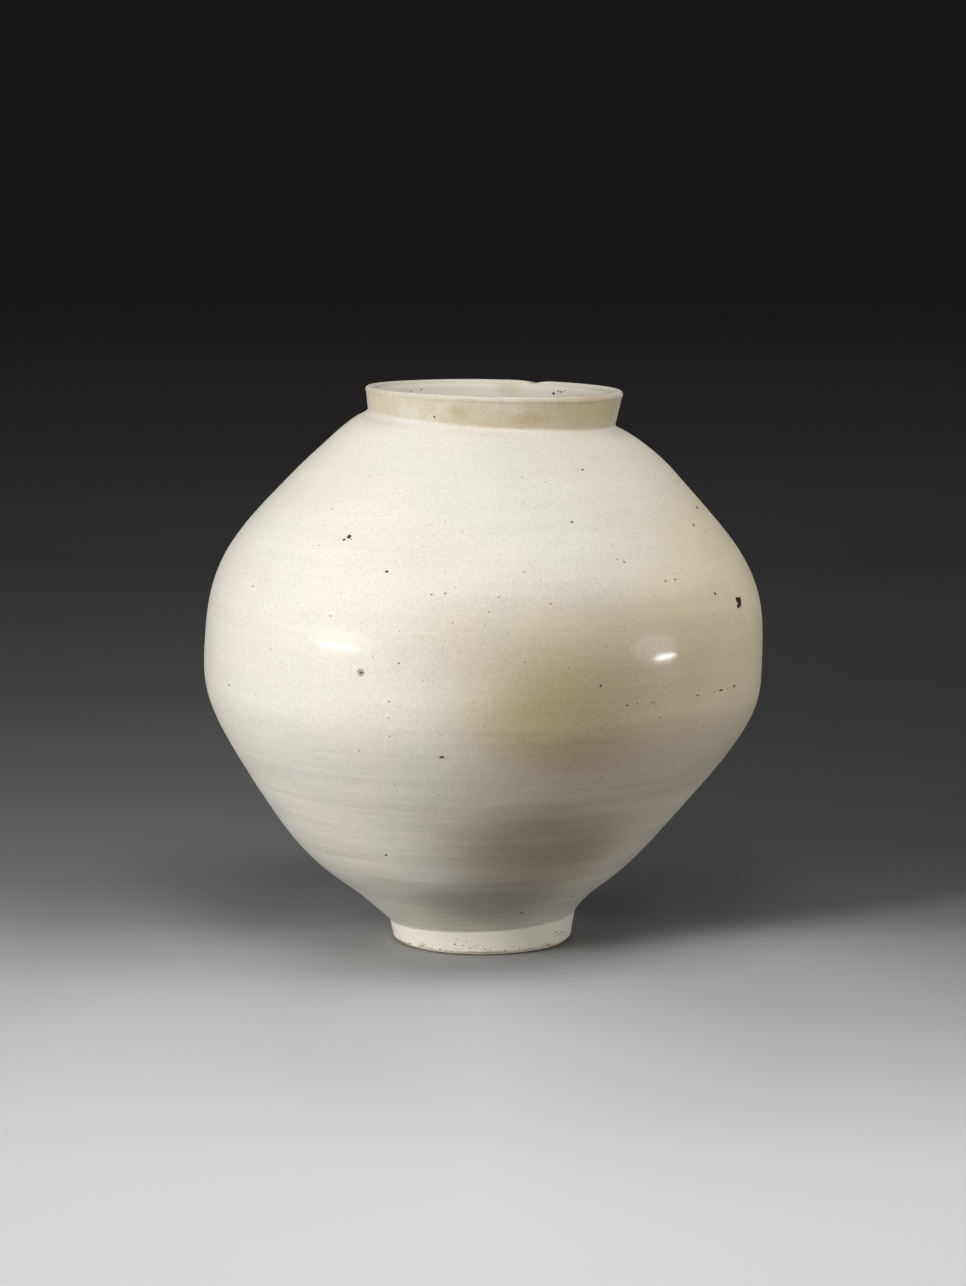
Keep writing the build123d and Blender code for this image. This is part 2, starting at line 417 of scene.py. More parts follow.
# %% Throw the collar
COLLAR_SEGMENTS = 64
COLLAR_GAP = 0.12  # between the glaze's inner side and this clay
collar_rings = sunk(
    np.vstack([collar_side[1:], outer_arc, inner_arc, bore_side]), GLAZE + COLLAR_GAP
)
fired_collar = thrown("fired_collar", collar_rings, COLLAR_SEGMENTS)
closed_up(fired_collar, COLLAR_SEGMENTS)
subdivided(fired_collar)
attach(fired_collar, "root")
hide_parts("mouth_collar")
print(f"{fired_collar.name}: {len(fired_collar.data.polygons)} faces")

# %% [markdown]
# ## A lip that is not quite true
#
# The lip rises and sinks by a little more than its tilt. It is pulled down at two places
# with proportional editing, as a modeller would do by hand. On the far side a flake has
# come off, with a steep end and a long shallow one, and at the front there is a faint nick.
# A boolean cut would leave crisp edges, and glaze breaks softly, so the flake is a row of
# small pulls as well. So is the one that is missing from the foot, at the front left.


# %% Helpers that pull the clay
def on_lip(azimuth):
    """The crest of the lip at this azimuth, from +X towards +Y."""
    angle = math.radians(azimuth)
    ring = lip_ring(0, LIP_WALL / 2)
    fall = math.tan(math.radians(LIP[4])), math.tan(math.radians(-LIP[5]))
    x, y = ring[1] * math.cos(angle), ring[1] * math.sin(angle)
    return Vector((x + ring[2], y + ring[3], ring[0] - fall[0] * x - fall[1] * y)) * MM


def pulled(skin, place, reach, move):
    """Move what is near a place, less and less towards the end of the reach."""
    nearest = min(skin.data.vertices, key=lambda v: (v.co - place).length_squared).index
    chose(skin, lambda vertex: vertex.index == nearest)
    bpy.ops.transform.translate(
        value=move,
        use_proportional_edit=True,
        proportional_edit_falloff="SMOOTH",
        proportional_size=reach * MM,
    )
    bpy.ops.object.mode_set(mode="OBJECT")


print("crest of the lip at the far side, m:", [round(v, 4) for v in on_lip(90)])

# %% Pull the lip and chip it
# Azimuth, reach and fall of each pull, in degrees and millimetres
SAGS = [(135, 70, 0.35), (-45, 70, 0.35)]
NICK = [(-91, 5, 0.7)]
CHIP = [
    (66.6, 4.5, 0.9),
    (68.6, 5.0, 1.7),
    (70.6, 5.5, 1.9),
    (73.0, 5.0, 1.3),
    (75.5, 5.0, 0.4),
]
CLAY_FALL = 1.15  # the clay breaks away a little deeper than its glaze
for azimuth, reach, drop in SAGS + NICK + CHIP:
    for skin, more in ((outer_glaze, 1.0), (fired_collar, CLAY_FALL)):
        pulled(skin, on_lip(azimuth), reach, (0, 0, -drop * more * MM))
print(f"{len(SAGS)} sags, {len(NICK)} nick and a flake of {len(CHIP)} pulls in the lip")

# %% Chip the foot
FOOT_FLAKE = [(-133, 3.2), (-130, 3.0)]  # azimuth and height
FLAKE_RADIUS = 71.0
FLAKE_REACH = 4.5
FLAKE_DEPTH = 0.9
FLAKE_RISE = 1.2  # the glaze is pushed up as well as in
for azimuth, height in FOOT_FLAKE:
    a = math.radians(azimuth)
    outwards = Vector((math.cos(a), math.sin(a), 0))
    place = (outwards * FLAKE_RADIUS + Vector((0, 0, height))) * MM
    push = Vector((-outwards.x, -outwards.y, FLAKE_RISE)) * FLAKE_DEPTH * MM
    pulled(outer_glaze, place, FLAKE_REACH, push)
print(f"a flake of {len(FOOT_FLAKE)} pulls in the foot's edge")

# %% [markdown]
# ## The inner glaze
#
# Inside, the glaze lies on the floor, turns up into the wall, and crosses the coil of clay
# that was wiped over the belly seam to seal it. Under the shoulder it meets the mouth, which
# was cut square through the upper bowl. The skin is thrown like the outer one, from the
# middle of the floor upwards, and back down on the clay.

# %% Rings of the wall inside
FLOOR_HEIGHT = 34.4
FLOOR_RADIUS = 35.0
POOLED = 0.7  # glaze that ran down and lies thicker on the floor
POOL_EDGE, POOL_FADE = 42.0, 4.0  # the height where it thins out, and over how much
slants = []
for place in range(len(BODY)):
    below, above = BODY[max(place - 1, 0)], BODY[min(place + 1, len(BODY) - 1)]
    rise = above[0] - below[0]
    slants.append(math.hypot(rise, above[1] - below[1]) / rise)
wall_rings = [
    (h, r - (2 * GLAZE + wall) * slant, x, 0, tilt, 0)
    for (h, r, x, tilt, wall), slant in zip(BODY[2:], slants[2:])
]
lowest = wall_rings[0]
TURN_UP, TURN_OUT = 0.28, 0.55  # the ring where the floor turns up into the wall
turn = (
    FLOOR_HEIGHT + (lowest[0] - FLOOR_HEIGHT) * TURN_UP,
    FLOOR_RADIUS + (lowest[1] - FLOOR_RADIUS) * TURN_OUT,
    *lowest[2:],
)
cavity = [(FLOOR_HEIGHT, FLOOR_RADIUS, *lowest[2:4], 0, 0), turn, *wall_rings]
INSIDE_COUNT, INSIDE_END = 84, 0.985  # how many rings, and the share of the way they go
cavity_rings = spline(cavity, np.linspace(0, INSIDE_END, INSIDE_COUNT))
print(f"{len(cavity_rings)} rings inside, up to {cavity_rings[-1][0]:.0f} mm")

# %% The coil over the seam, the floor and the cut of the mouth
COIL_BULGE, COIL_REACH, COIL_SLOPE = 2.6, 16.0, 3.5
for ring in cavity_rings:
    rise = (COIL_REACH - abs(ring[0] - SEAM_HEIGHT)) / COIL_SLOPE
    rise = min(max(rise, 0), 1)
    ring[1] -= COIL_BULGE * rise * rise * (3 - 2 * rise)
    ring[0] += POOLED * max(0, min(1, (POOL_EDGE - ring[0]) / POOL_FADE))
MOUTH_MARGIN = 1.5  # the wall's rings stop this far outside the mouth
LOW_HALF = 300.0  # below this no ring is near the mouth
cavity_rings = cavity_rings[
    (cavity_rings[:, 1] > BORE_RADIUS + MOUTH_MARGIN) | (cavity_rings[:, 0] < LOW_HALF)
]
FLOOR_RADII = (8, 18, 28)
CUT_DROPS = (3.4, 2.2, 1.0, 0.25)  # how far the rings of the mouth's cut lie below its top
floor_rings = [(FLOOR_HEIGHT + POOLED, r, lowest[2], 0, 0, 0) for r in FLOOR_RADII]
cut_rings = []
for drop in CUT_DROPS:
    ring = bore_joint.copy()
    ring[0] -= drop
    ring[2] -= drop * math.sin(math.radians(NECK_JOINT[4]))
    cut_rings.append(ring)
inner_shown = np.vstack([floor_rings, cavity_rings, cut_rings])
# On the clay every fourth ring is enough, and all of them near the coil
by_coil = np.abs(inner_shown[:, 0] - SEAM_HEIGHT) < 2 * COIL_REACH
kept = by_coil | (np.arange(len(inner_shown)) % 4 == 0)
inner_hidden = sunk(inner_shown, -GLAZE)[kept][::-1]
last_ring = (FLOOR_HEIGHT - GLAZE, FLOOR_RADII[0], lowest[2], 0, 0, 0)
inner_hidden = np.vstack([inner_hidden, [last_ring]])
print(f"inner glaze: {len(inner_shown)} rings shown, {len(inner_hidden)} on the clay")


# %% Throw the inner glaze
def capped(skin, segments, count):
    """Close a skin that starts and ends in the middle of a floor."""
    for end in (0, count - 1):
        low = end * segments
        chose(skin, lambda vertex: low <= vertex.index < low + segments)
        bpy.ops.mesh.edge_face_add()
        bpy.ops.object.mode_set(mode="OBJECT")
    faced(skin)


INNER_SEGMENTS = 48
MOUTH_WEIGHTS = [0.4, 0.2, 0]  # ripples fade out towards the mouth
INNER_RIPPLES = (-0.5, (300, 16), (0.2, 0.5, 0.3))
inner_rings = np.vstack([inner_shown, inner_hidden])
inner_glaze = thrown("inner_glaze_skin", inner_rings, INNER_SEGMENTS, closed=False)
capped(inner_glaze, INNER_SEGMENTS, len(inner_rings))
wall_weights = [1] * (len(inner_shown) - len(MOUTH_WEIGHTS))
grouped(inner_glaze, INNER_SEGMENTS, wall_weights + MOUTH_WEIGHTS + [0] * len(inner_hidden))
subdivided(inner_glaze)
rippled(inner_glaze, "finger_ripples", *INNER_RIPPLES)
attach(inner_glaze, "root")
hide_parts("inner_glaze")
print(f"{inner_glaze.name}: {len(inner_glaze.data.polygons)} faces")

# %% [markdown]
# ## The glaze under the foot
#
# The recess under the jar was dipped too. Its glaze covers the roof and the inside of the
# foot ring, and stops above the ground. This skin is a shallow cap, thrown from the middle
# of the roof outwards and down, and back again on the clay.

# %% Rings of the base glaze
RECESS_RADIUS = 60.1
RECESS_TAPER = 3.0
ROOF_RADII = (6, 18, 32, 44, 51, 54.6)
WALL_SHARES = (0.9, 0.82, 0.6, 0.4, 0.24, 0.165)
# On the clay
HIDDEN_SHARES = (0.15, 0.5, 0.95)
HIDDEN_RADII = (56, 40, 20, 6)


def recess_ring(share, lining):
    """A ring on the wall of the recess, from the ground (0) to its roof (1)."""
    ring = between(GROUND, FOOT_JOINT, [share])[0]
    ring[1] = RECESS_RADIUS - RECESS_TAPER * share - lining
    return ring


def roof_ring(radius, lining):
    """A ring on the roof of the recess."""
    ring = FOOT_JOINT.copy()
    ring[0] -= lining
    ring[1] = radius
    return ring


roof_shown = [roof_ring(radius, GLAZE) for radius in ROOF_RADII]
wall_shown = [recess_ring(share, GLAZE) for share in WALL_SHARES]
wall_hidden = [recess_ring(share, 0) for share in HIDDEN_SHARES]
roof_hidden = [roof_ring(radius, 0) for radius in HIDDEN_RADII]
base_shown = roof_shown + wall_shown
base_rings = np.array(base_shown + wall_hidden + roof_hidden)
print(f"base glaze: {len(base_shown)} rings shown, {len(base_rings)} in all")

# %% Throw the base glaze
POOLING = (0.4, (30, 30), (0.1, 0.2, 0.1))
base_glaze = thrown("base_glaze_skin", base_rings, INNER_SEGMENTS, closed=False)
capped(base_glaze, INNER_SEGMENTS, len(base_rings))
edge_weights = [0.4, 0]
cap_weights = [1] * (len(base_shown) - len(edge_weights))
hidden_weights = [0] * len(wall_hidden + roof_hidden)
grouped(base_glaze, INNER_SEGMENTS, cap_weights + edge_weights + hidden_weights)
subdivided(base_glaze)
rippled(base_glaze, "pooled_glaze", *POOLING)
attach(base_glaze, "root")
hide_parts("base_glaze")
print(f"{base_glaze.name}: {len(base_glaze.data.polygons)} faces")

# %% [markdown]
# ## The fired foot ring
#
# The foot is bare clay where it stood in the kiln. Its edge is rounded, worn and gritty.
# The ring is thrown as a closed loop round its own section, with more segments than the
# skins, so that cloud textures can roughen its edge.

# %% Rings of the foot's section
CLAY_RADIUS = 69.6
OUTER_EDGE, INNER_EDGE = 2.2, 1.5  # radii of its rounded edges
SLIP_SHARE = 0.95  # the slip over the foot ring starts here
UNDERCUT = 0.35  # so that the rough clay stays under its glaze
LIFT = 0.04  # so that subdivision doesn't press the sole into the ground
# Height and radius of the two rings above the rounded outer edge, and then the radii of
# the two that lie flat on the ground
EDGE_RINGS = ((4.4, 70.0), (3.1, 69.9))
FLAT_RADII = (65.6, 63.2)
OUTER_TURNS, INNER_TURNS = (0, 30, 60, 88), (88, 50, 0)  # degrees round both edges
# Where the rings lie on the outer wall going down, and on the recess going up
DOWN_SHARES = (SLIP_SHARE, 0.8, 0.62, 0.44, 0.3)
WORN_SHARES = (0.15, 0.2)
UP_SHARES = (0.4, 0.7, SLIP_SHARE)


def foot_wall_ring(share):
    """A ring on the outside of the foot's clay, from the ground (0) to its joint (1)."""
    ring = between(GROUND, FOOT_JOINT, [share])[0]
    ring[1] -= GLAZE + UNDERCUT
    return ring


def sole_ring(height, radius):
    """A level ring near the ground."""
    ring = GROUND.copy()
    ring[0], ring[1] = height, radius
    return ring


sole = [sole_ring(height, radius) for height, radius in EDGE_RINGS]
for angle in OUTER_TURNS:
    a = math.radians(angle)
    out = CLAY_RADIUS - OUTER_EDGE * (1 - math.cos(a))
    sole.append(sole_ring(OUTER_EDGE * (1 - math.sin(a)) + LIFT, out))
sole += [sole_ring(LIFT, radius) for radius in FLAT_RADII]
for angle in INNER_TURNS:
    a = math.radians(angle)
    out = RECESS_RADIUS + INNER_EDGE * (1 - math.cos(a))
    sole.append(sole_ring(INNER_EDGE * (1 - math.sin(a)) + LIFT, out))
sole += [recess_ring(share, 0) for share in WORN_SHARES]
outer_wall = [foot_wall_ring(share) for share in DOWN_SHARES]
inner_wall = [recess_ring(share, 0) for share in UP_SHARES]
print(f"{len(outer_wall)} rings down, {len(sole)} round the sole, {len(inner_wall)} up")

# %% Throw the foot ring
FOOT_SEGMENTS = 112
KILN_GRIT = (0.45, (1.6, 1.6), (0.02, 0.03, 0.01))
WORN_EDGE = (0.5, (9, 9), (0.04, 0.01, 0.02))
fired_foot = thrown("fired_foot_ring", outer_wall + sole + inner_wall, FOOT_SEGMENTS)
closed_up(fired_foot, FOOT_SEGMENTS)
rough = [0] * len(outer_wall) + [1] * (len(sole) - 1) + [0] * (len(inner_wall) + 1)
grouped(fired_foot, FOOT_SEGMENTS, rough)
subdivided(fired_foot)
rippled(fired_foot, "kiln_grit", *KILN_GRIT)
rippled(fired_foot, "worn_edge", *WORN_EDGE)
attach(fired_foot, "root")
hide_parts("foot_ring")
print(f"{fired_foot.name}: {len(fired_foot.data.polygons)} faces")

# %% [markdown]
# ## Building blocks for finishes
#
# Every finish below is drawn by nodes from the surface's own coordinates, so it stays on
# the jar from any side. An image would need an unwrapped surface and a photograph, while
# nodes need neither. A few small helpers keep the node code short, and each effect that
# more than one finish needs is a node group: the fine lines of the wheel, scattered iron
# specks, a mark at a place, and a scratch between two places.


# %% Helpers that place nodes
def node(tree, kind, inputs=(), **settings):
    """A shader node; its inputs are set to values, or joined to other nodes' sockets."""
    made = tree.nodes.new("ShaderNode" + kind)
    for key, value in settings.items():
        setattr(made, key, value)
    for key, value in dict(inputs).items():
        if isinstance(value, bpy.types.NodeSocket):
            tree.links.new(value, made.inputs[key])
        else:
            made.inputs[key].default_value = value
    return made


def group(name, inputs, outputs):
    """An empty node group with these sockets: its tree, and both ends of it."""
    tree = bpy.data.node_groups.new(name, "ShaderNodeTree")
    for way, sockets in (("INPUT", inputs), ("OUTPUT", outputs)):
        for label, kind in sockets.items():
            tree.interface.new_socket(name=label, in_out=way, socket_type="NodeSocket" + kind)
    given = tree.nodes.new("NodeGroupInput").outputs
    return tree, given, tree.nodes.new("NodeGroupOutput").inputs


def used(tree, shared, inputs):
    """One use of a node group in a tree."""
    return node(tree, "Group", inputs, node_tree=shared).outputs[0]


print("node helpers: node, group, used")


# %% Helpers that calculate
def maths(tree, operation, *values):
    """One step of arithmetic on numbers."""
    return node(tree, "Math", dict(enumerate(values)), operation=operation).outputs[0]


def times(tree, first, second):
    """A product."""
    return maths(tree, "MULTIPLY", first, second)


def plus(tree, first, second):
    """A sum."""
    return maths(tree, "ADD", first, second)


def minus(tree, first, second):
    """A difference."""
    return maths(tree, "SUBTRACT", first, second)


def vectors(tree, operation, *values, output=0):
    """One step of arithmetic on vectors."""
    made = node(tree, "VectorMath", dict(enumerate(values)), operation=operation)
    return made.outputs[output]


def distance(tree, first, second):
    """How far apart two places are."""
    return vectors(tree, "LENGTH", vectors(tree, "SUBTRACT", first, second), output=1)


def faded(tree, value, low, high):
    """0 where the value is at low and 1 where it is at high, with a soft change between."""
    inputs = {"Value": value, "From Min": low, "From Max": high}
    return node(tree, "MapRange", inputs, interpolation_type="SMOOTHSTEP").outputs[0]


print("arithmetic: maths, times, plus, minus, vectors, distance, faded")


# %% Helpers that colour
def parts(tree, vector):
    """The x, y and z of a vector."""
    return node(tree, "SeparateXYZ", {0: vector}).outputs


def grey(tree, value):
    """A colour with this much of red, green and blue."""
    return node(tree, "CombineColor", {0: value, 1: value, 2: value}).outputs[0]


def noise(tree, vector, scale, detail=2.0, roughness=0.5):
    """Cloudy values round a half."""
    inputs = {"Vector": vector, "Scale": scale, "Detail": detail, "Roughness": roughness}
    return node(tree, "TexNoise", inputs).outputs[0]


def blended(tree, factor, first, second, blend="MIX"):
    """Two colours mixed by a factor."""
    inputs = {0: factor, 6: first, 7: second}
    return node(tree, "Mix", inputs, data_type="RGBA", blend_type=blend).outputs[2]


print("colouring: parts, grey, noise, blended")

# %% Group: the fine level lines of throwing and wiping
wheel_lines, given, result = group(
    "wheel_lines", {"Vector": "Vector", "Per metre": "Float"}, {"Value": "Float"}
)
AROUND = 5.0  # per metre: how slowly a line changes as it runs round the jar
across, deep, height = parts(wheel_lines, given["Vector"])
flattened = {
    "X": times(wheel_lines, across, AROUND),
    "Y": times(wheel_lines, deep, AROUND),
    "Z": times(wheel_lines, height, given["Per metre"]),
}
level = node(wheel_lines, "CombineXYZ", flattened).outputs[0]
wheel_lines.links.new(noise(wheel_lines, level, 1.0, 3.0, 0.6), result["Value"])
print(f"{wheel_lines.name}: {len(wheel_lines.nodes)} nodes")

# %% Group: specks of iron scattered through the glaze
iron_specks, given, result = group(
    "iron_specks",
    {"Vector": "Vector", "Per metre": "Float", "Share": "Float", "Size": "Float"},
    {"Mask": "Float"},
)
# One speck at most in each cell of the pattern, and the cell's colour is its dice
grid = {"Vector": given["Vector"], "Scale": given["Per metre"]}
cells = node(iron_specks, "TexVoronoi", grid).outputs
dice = node(iron_specks, "SeparateColor", {0: cells["Color"]}).outputs
size = times(iron_specks, given["Size"], dice["Green"])
CORE = 0.45  # share of a speck that is fully dark
speck = faded(iron_specks, cells["Distance"], size, times(iron_specks, size, CORE))
chosen = maths(iron_specks, "LESS_THAN", dice["Red"], given["Share"])
iron_specks.links.new(times(iron_specks, speck, chosen), result["Mask"])
print(f"{iron_specks.name}: {len(iron_specks.nodes)} nodes")

# %% Group: a mark at a place
placed_mark, given, result = group(
    "placed_mark",
    {
        "Vector": "Vector",
        "Place": "Vector",
        "Size": "Vector",
        "Softness": "Float",
        "Ragged": "Float",
    },
    {"Mask": "Float"},
)
away = vectors(placed_mark, "SUBTRACT", given["Vector"], given["Place"])
away = vectors(placed_mark, "DIVIDE", away, given["Size"])
far = vectors(placed_mark, "LENGTH", away, output=1)
TEARS = 1.6  # how finely a mark's edge is torn, counted over its own size
torn = minus(placed_mark, noise(placed_mark, away, TEARS, 3.0), 0.5)
far = plus(placed_mark, far, times(placed_mark, torn, given["Ragged"]))
soft_edge = minus(placed_mark, 1.0, given["Softness"])
placed_mark.links.new(faded(placed_mark, far, 1.0, soft_edge), result["Mask"])
print(f"{placed_mark.name}: {len(placed_mark.nodes)} nodes")

# %% Group: a scratch or a crease between two places
scratch, given, result = group(
    "scratch",
    {"Vector": "Vector", "From": "Vector", "To": "Vector", "Width": "Float"},
    {"Mask": "Float"},
)
run = vectors(scratch, "SUBTRACT", given["To"], given["From"])
away = vectors(scratch, "SUBTRACT", given["Vector"], given["From"])
along_run = vectors(scratch, "DOT_PRODUCT", away, run, output=1)
whole_run = vectors(scratch, "DOT_PRODUCT", run, run, output=1)
share = maths(scratch, "DIVIDE", along_run, whole_run)
share = node(scratch, "Clamp", {0: share}).outputs[0]
nearest = node(scratch, "VectorMath", {0: run, "Scale": share}, operation="SCALE").outputs[0]
far = distance(scratch, away, nearest)
# Its width comes and goes, so that the line is broken
BREAKS = 700.0  # per metre
HEART = 0.3  # share of its width that is fully dark
width = times(scratch, given["Width"], noise(scratch, given["Vector"], BREAKS))
heart = times(scratch, width, HEART)
scratch.links.new(faded(scratch, far, width, heart), result["Mask"])
print(f"{scratch.name}: {len(scratch.nodes)} nodes")

# %% [markdown]
# ## Places on the skin
#
# A mark belongs to a place on the jar. Each is written by its azimuth, in degrees from the
# front towards the right, and its height in millimetres. A ray from outside finds the skin
# there, so that the mark sits on the surface as it was thrown, ripples and all.


# %% Helpers that find a place on the skin
CLEAR = 0.5  # metres from the axis: outside any skin


def seat(azimuth, height, inside=False):
    """The skin's point at this azimuth and height, and which way it faces there."""
    angle = math.radians(azimuth)
    outwards = Vector((math.sin(angle), -math.cos(angle), 0))
    start = Vector((0, 0, height * MM))
    if inside:
        _, point, facing, _ = outer_glaze.ray_cast(start, outwards)
    else:
        _, point, facing, _ = outer_glaze.ray_cast(start + outwards * CLEAR, -outwards)
    return point, facing


def on_skin(azimuth, height, inside=False):
    """The skin's point at this azimuth and height."""
    return seat(azimuth, height, inside)[0]


print("front of the belly seam, m:", [round(v, 4) for v in on_skin(0, SEAM_HEIGHT)])

# %% [markdown]
# ## The milky glaze
#
# The glaze is a milky white that is never one white: bluish grey where it lies thick,
# cream where it is thin, and tan over the right of the belly, where old storage has
# stained it. Level lines of the wheel and of wiping run under it. Iron in the clay has
# burnt through as dark specks with a rusty edge, and the surface is a soft gloss, a little
# uneven like orange skin. A soft base with a thin coat over it gives that gloss: the base
# spreads the light, and the coat keeps the two highlights small.

# %% Colours of the jar
MILK = (0.745, 0.720, 0.640, 1)
CREAM = (0.768, 0.722, 0.612, 1)
GREY = (0.66, 0.65, 0.58, 1)
FOOT_WHITE = (0.94, 0.895, 0.76, 1)
INSIDE = (0.92, 0.865, 0.72, 1)
OLIVE = (0.52, 0.49, 0.36, 1)
IRON = (0.022, 0.014, 0.008, 1)
RUST = (0.30, 0.17, 0.07, 1)
BROWN = (0.40, 0.29, 0.18, 1)
# Stains and painted shade darken what is under them, by these shares of red, green and blue
WARM = (0.93, 0.86, 0.71, 1)
TEA_STAIN_AND_SHADE = (0.80, 0.71, 0.57, 1)
PAINTED_DUSK_SHADE = (0.78, 0.73, 0.65, 1)
SCORCH = (0.62, 0.42, 0.24, 1)
UMBER = (0.34, 0.22, 0.13, 1)
PAINTED_ASH_SHADE = (0.70, 0.685, 0.66, 1)
LEATHER_STAIN_AND_SHADE = (0.76, 0.71, 0.60, 1)
PAINTED_SLATE_SHADE = (0.60, 0.57, 0.56, 1)
AMBER = (0.84, 0.66, 0.45, 1)
MOSS = (0.78, 0.78, 0.64, 1)
NECK_STAIN = (0.80, 0.755, 0.655, 1)
print("milk and cream:", MILK[:3], CREAM[:3])


# %% Helpers that start and end a finish
def finished(name, roughness, coat=0.0, coat_roughness=0.1):
    """A new material with its Principled shader, and its object coordinates."""
    material = bpy.data.materials.new(name)
    material.use_nodes = True
    tree = material.node_tree
    shader = tree.nodes["Principled BSDF"]
    shader.inputs["Roughness"].default_value = roughness
    shader.inputs["Coat Weight"].default_value = coat
    shader.inputs["Coat Roughness"].default_value = coat_roughness
    place = node(tree, "TexCoord").outputs["Object"]
    return material, tree, shader, place


def embossed(tree, shader, relief, depth):
    """Send a relief, in shares of this depth in millimetres, to the shader's normal."""
    bump = node(tree, "Bump", {"Strength": 1.0, "Distance": depth * MM, "Height": relief})
    tree.links.new(bump.outputs[0], shader.inputs["Normal"])


print("finishes start with finished() and end with embossed()")

# %% What all of the jar's glaze shares
# Sizes of the pattern, each by how many of it go into a metre
CLOUDS, THICK_SPOTS = 7.0, 19.0
FINE_LINES, BROAD_LINES = 190.0, 45.0
ORANGE_SKIN, DUST, FLECKS, GRAIN = 160.0, 240.0, 90.0, 480.0
# The lines of wiping are stronger on the lower bowl, below this band of heights
WIPED, WIPED_BELOW = 0.11, 0.34
WIPED_BAND = (0.24, 0.08)
GRAIN_DEPTH, DARKEST = 0.46, 0.77
# From which value of the clouds to which it turns creamy or thick, and how grey
CREAM_CLOUDS, THICK_CLOUDS, THICK_GREY = (0.38, 0.62), (0.5, 0.75), 0.18
# Share of the cells that hold a speck, its size in its cell, and how strong it is
DUST_SHARE, DUST_SIZE, DUST_STRENGTH = 0.38, 0.21, 0.6
FLECK_SHARE, FLECK_SIZE, FLECK_STRENGTH = 0.10, 0.11, 0.8
# How much of the relief each of them makes
LINE_RELIEF, SKIN_RELIEF, GRAIN_RELIEF, FLECK_DENT = 0.35, 0.30, 0.06, 0.5


def specked(tree, place, per_metre, share, size):
    """A mask of iron specks, of this share of the cells and this size in them."""
    inputs = {"Vector": place, "Per metre": per_metre, "Share": share, "Size": size}
    return used(tree, iron_specks, inputs)


def glazed(tree, place):
    """Colour and relief that all of the jar's glaze shares."""
    clouds = noise(tree, place, CLOUDS, 3.0, 0.55)
    colour = blended(tree, faded(tree, clouds, *CREAM_CLOUDS), MILK, CREAM)
    thick = faded(tree, noise(tree, place, THICK_SPOTS), *THICK_CLOUDS)
    colour = blended(tree, times(tree, thick, THICK_GREY), colour, GREY)

    lines = used(tree, wheel_lines, {"Vector": place, "Per metre": FINE_LINES})
    broad = used(tree, wheel_lines, {"Vector": place, "Per metre": BROAD_LINES})
    low_down = faded(tree, parts(tree, place)["Z"], *WIPED_BAND)
    wiped = plus(tree, WIPED, times(tree, low_down, WIPED_BELOW))
    shade = times(tree, minus(tree, plus(tree, lines, broad), 1.0), wiped)
    grain = noise(tree, place, GRAIN, 3.0, 0.75)
    shade = plus(tree, shade, times(tree, grain, GRAIN_DEPTH))
    shade = plus(tree, shade, DARKEST)
    colour = blended(tree, 1.0, colour, grey(tree, shade), "MULTIPLY")

    dust = specked(tree, place, DUST, DUST_SHARE, DUST_SIZE)
    flecks = specked(tree, place, FLECKS, FLECK_SHARE, FLECK_SIZE)
    colour = blended(tree, times(tree, dust, DUST_STRENGTH), colour, RUST)
    colour = blended(tree, times(tree, flecks, FLECK_STRENGTH), colour, IRON)

    relief = times(tree, lines, LINE_RELIEF)
    pores = noise(tree, place, ORANGE_SKIN)
    relief = plus(tree, relief, times(tree, pores, SKIN_RELIEF))
    relief = plus(tree, relief, times(tree, grain, GRAIN_RELIEF))
    relief = minus(tree, relief, times(tree, flecks, FLECK_DENT))
    return colour, relief


print(f"glaze: {FINE_LINES:.0f} wheel lines and {GRAIN:.0f} grains to the metre")

# %% Start the outer glaze's finish
glaze_material, tree, shader, place = finished("milky_glaze", 0.48, 0.17, 0.10)
shader.inputs["Specular IOR Level"].default_value = 0.22
colour, relief = glazed(tree, place)
x, y, z = parts(tree, place)
print(f"{glaze_material.name}: {len(tree.nodes)} nodes shared by all glaze")

# %% The wiped foot and the kiln grit in it
# Slopes of the joints and of the lip: they tilt, so their heights change with x
FOOT_SLOPE, NECK_SLOPE, LIP_SLOPE = -0.0407, 0.0657, 0.0204
# Heights in metres, from where each begins to where it is full
FOOT_WIPED = (0.0212, 0.0198)
GRITTY, ROUGH, BURNT = (0.0110, 0.0035), (0.0125, 0.0045), (0.0044, 0.0028)
# The joint is torn towards the right: where in x, how deep, and how finely to the metre
TORN_SIDE, TORN_DEPTH, FOOT_TEARS = (0.01, 0.06), 0.009, 210.0
CRUMBS, BURNT_CLOUDS = 420.0, 60.0  # how many to the metre


def levelled(slope):
    """Height, as if a joint with this slope were level."""
    return plus(tree, z, times(tree, x, slope))


# Where the foot is wiped thin the glaze is whiter, up to the joint, with a ragged edge. The
# white is pushed paler still as painted light on the foot.
torn = minus(tree, noise(tree, place, FOOT_TEARS, 2.0, 0.6), 0.5)
torn = times(tree, torn, times(tree, faded(tree, x, *TORN_SIDE), TORN_DEPTH))
joint = plus(tree, levelled(FOOT_SLOPE), torn)
colour = blended(tree, faded(tree, joint, *FOOT_WIPED), colour, FOOT_WHITE)

# Kiln grit has stuck in its lower edge, which the fire has burnt brown
grit = times(tree, specked(tree, place, CRUMBS, 0.5, 0.34), faded(tree, z, *GRITTY))
colour = blended(tree, grit, colour, BROWN)
burnt = faded(tree, noise(tree, place, BURNT_CLOUDS), 0.40, 0.62)
burnt = times(tree, burnt, faded(tree, z, *BURNT))
colour = blended(tree, burnt, colour, SCORCH, "MULTIPLY")
print(f"foot: {len(tree.nodes)} nodes so far")

# %% The pale mouth and the stained neck
# Inside the mouth, near its axis, the glaze is paler, partly as painted light on the
# mouth's inner wall: radii and heights in metres
MOUTH_RADII, MOUTH_HEIGHTS = (0.0960, 0.0935), (0.405, 0.412)
mouth_axis = node(tree, "CombineXYZ", {"X": LIP[2] * MM, "Z": z}).outputs[0]
inwards = faded(tree, distance(tree, place, mouth_axis), *MOUTH_RADII)
inside = times(tree, inwards, faded(tree, z, *MOUTH_HEIGHTS))
colour = blended(tree, inside, colour, INSIDE)

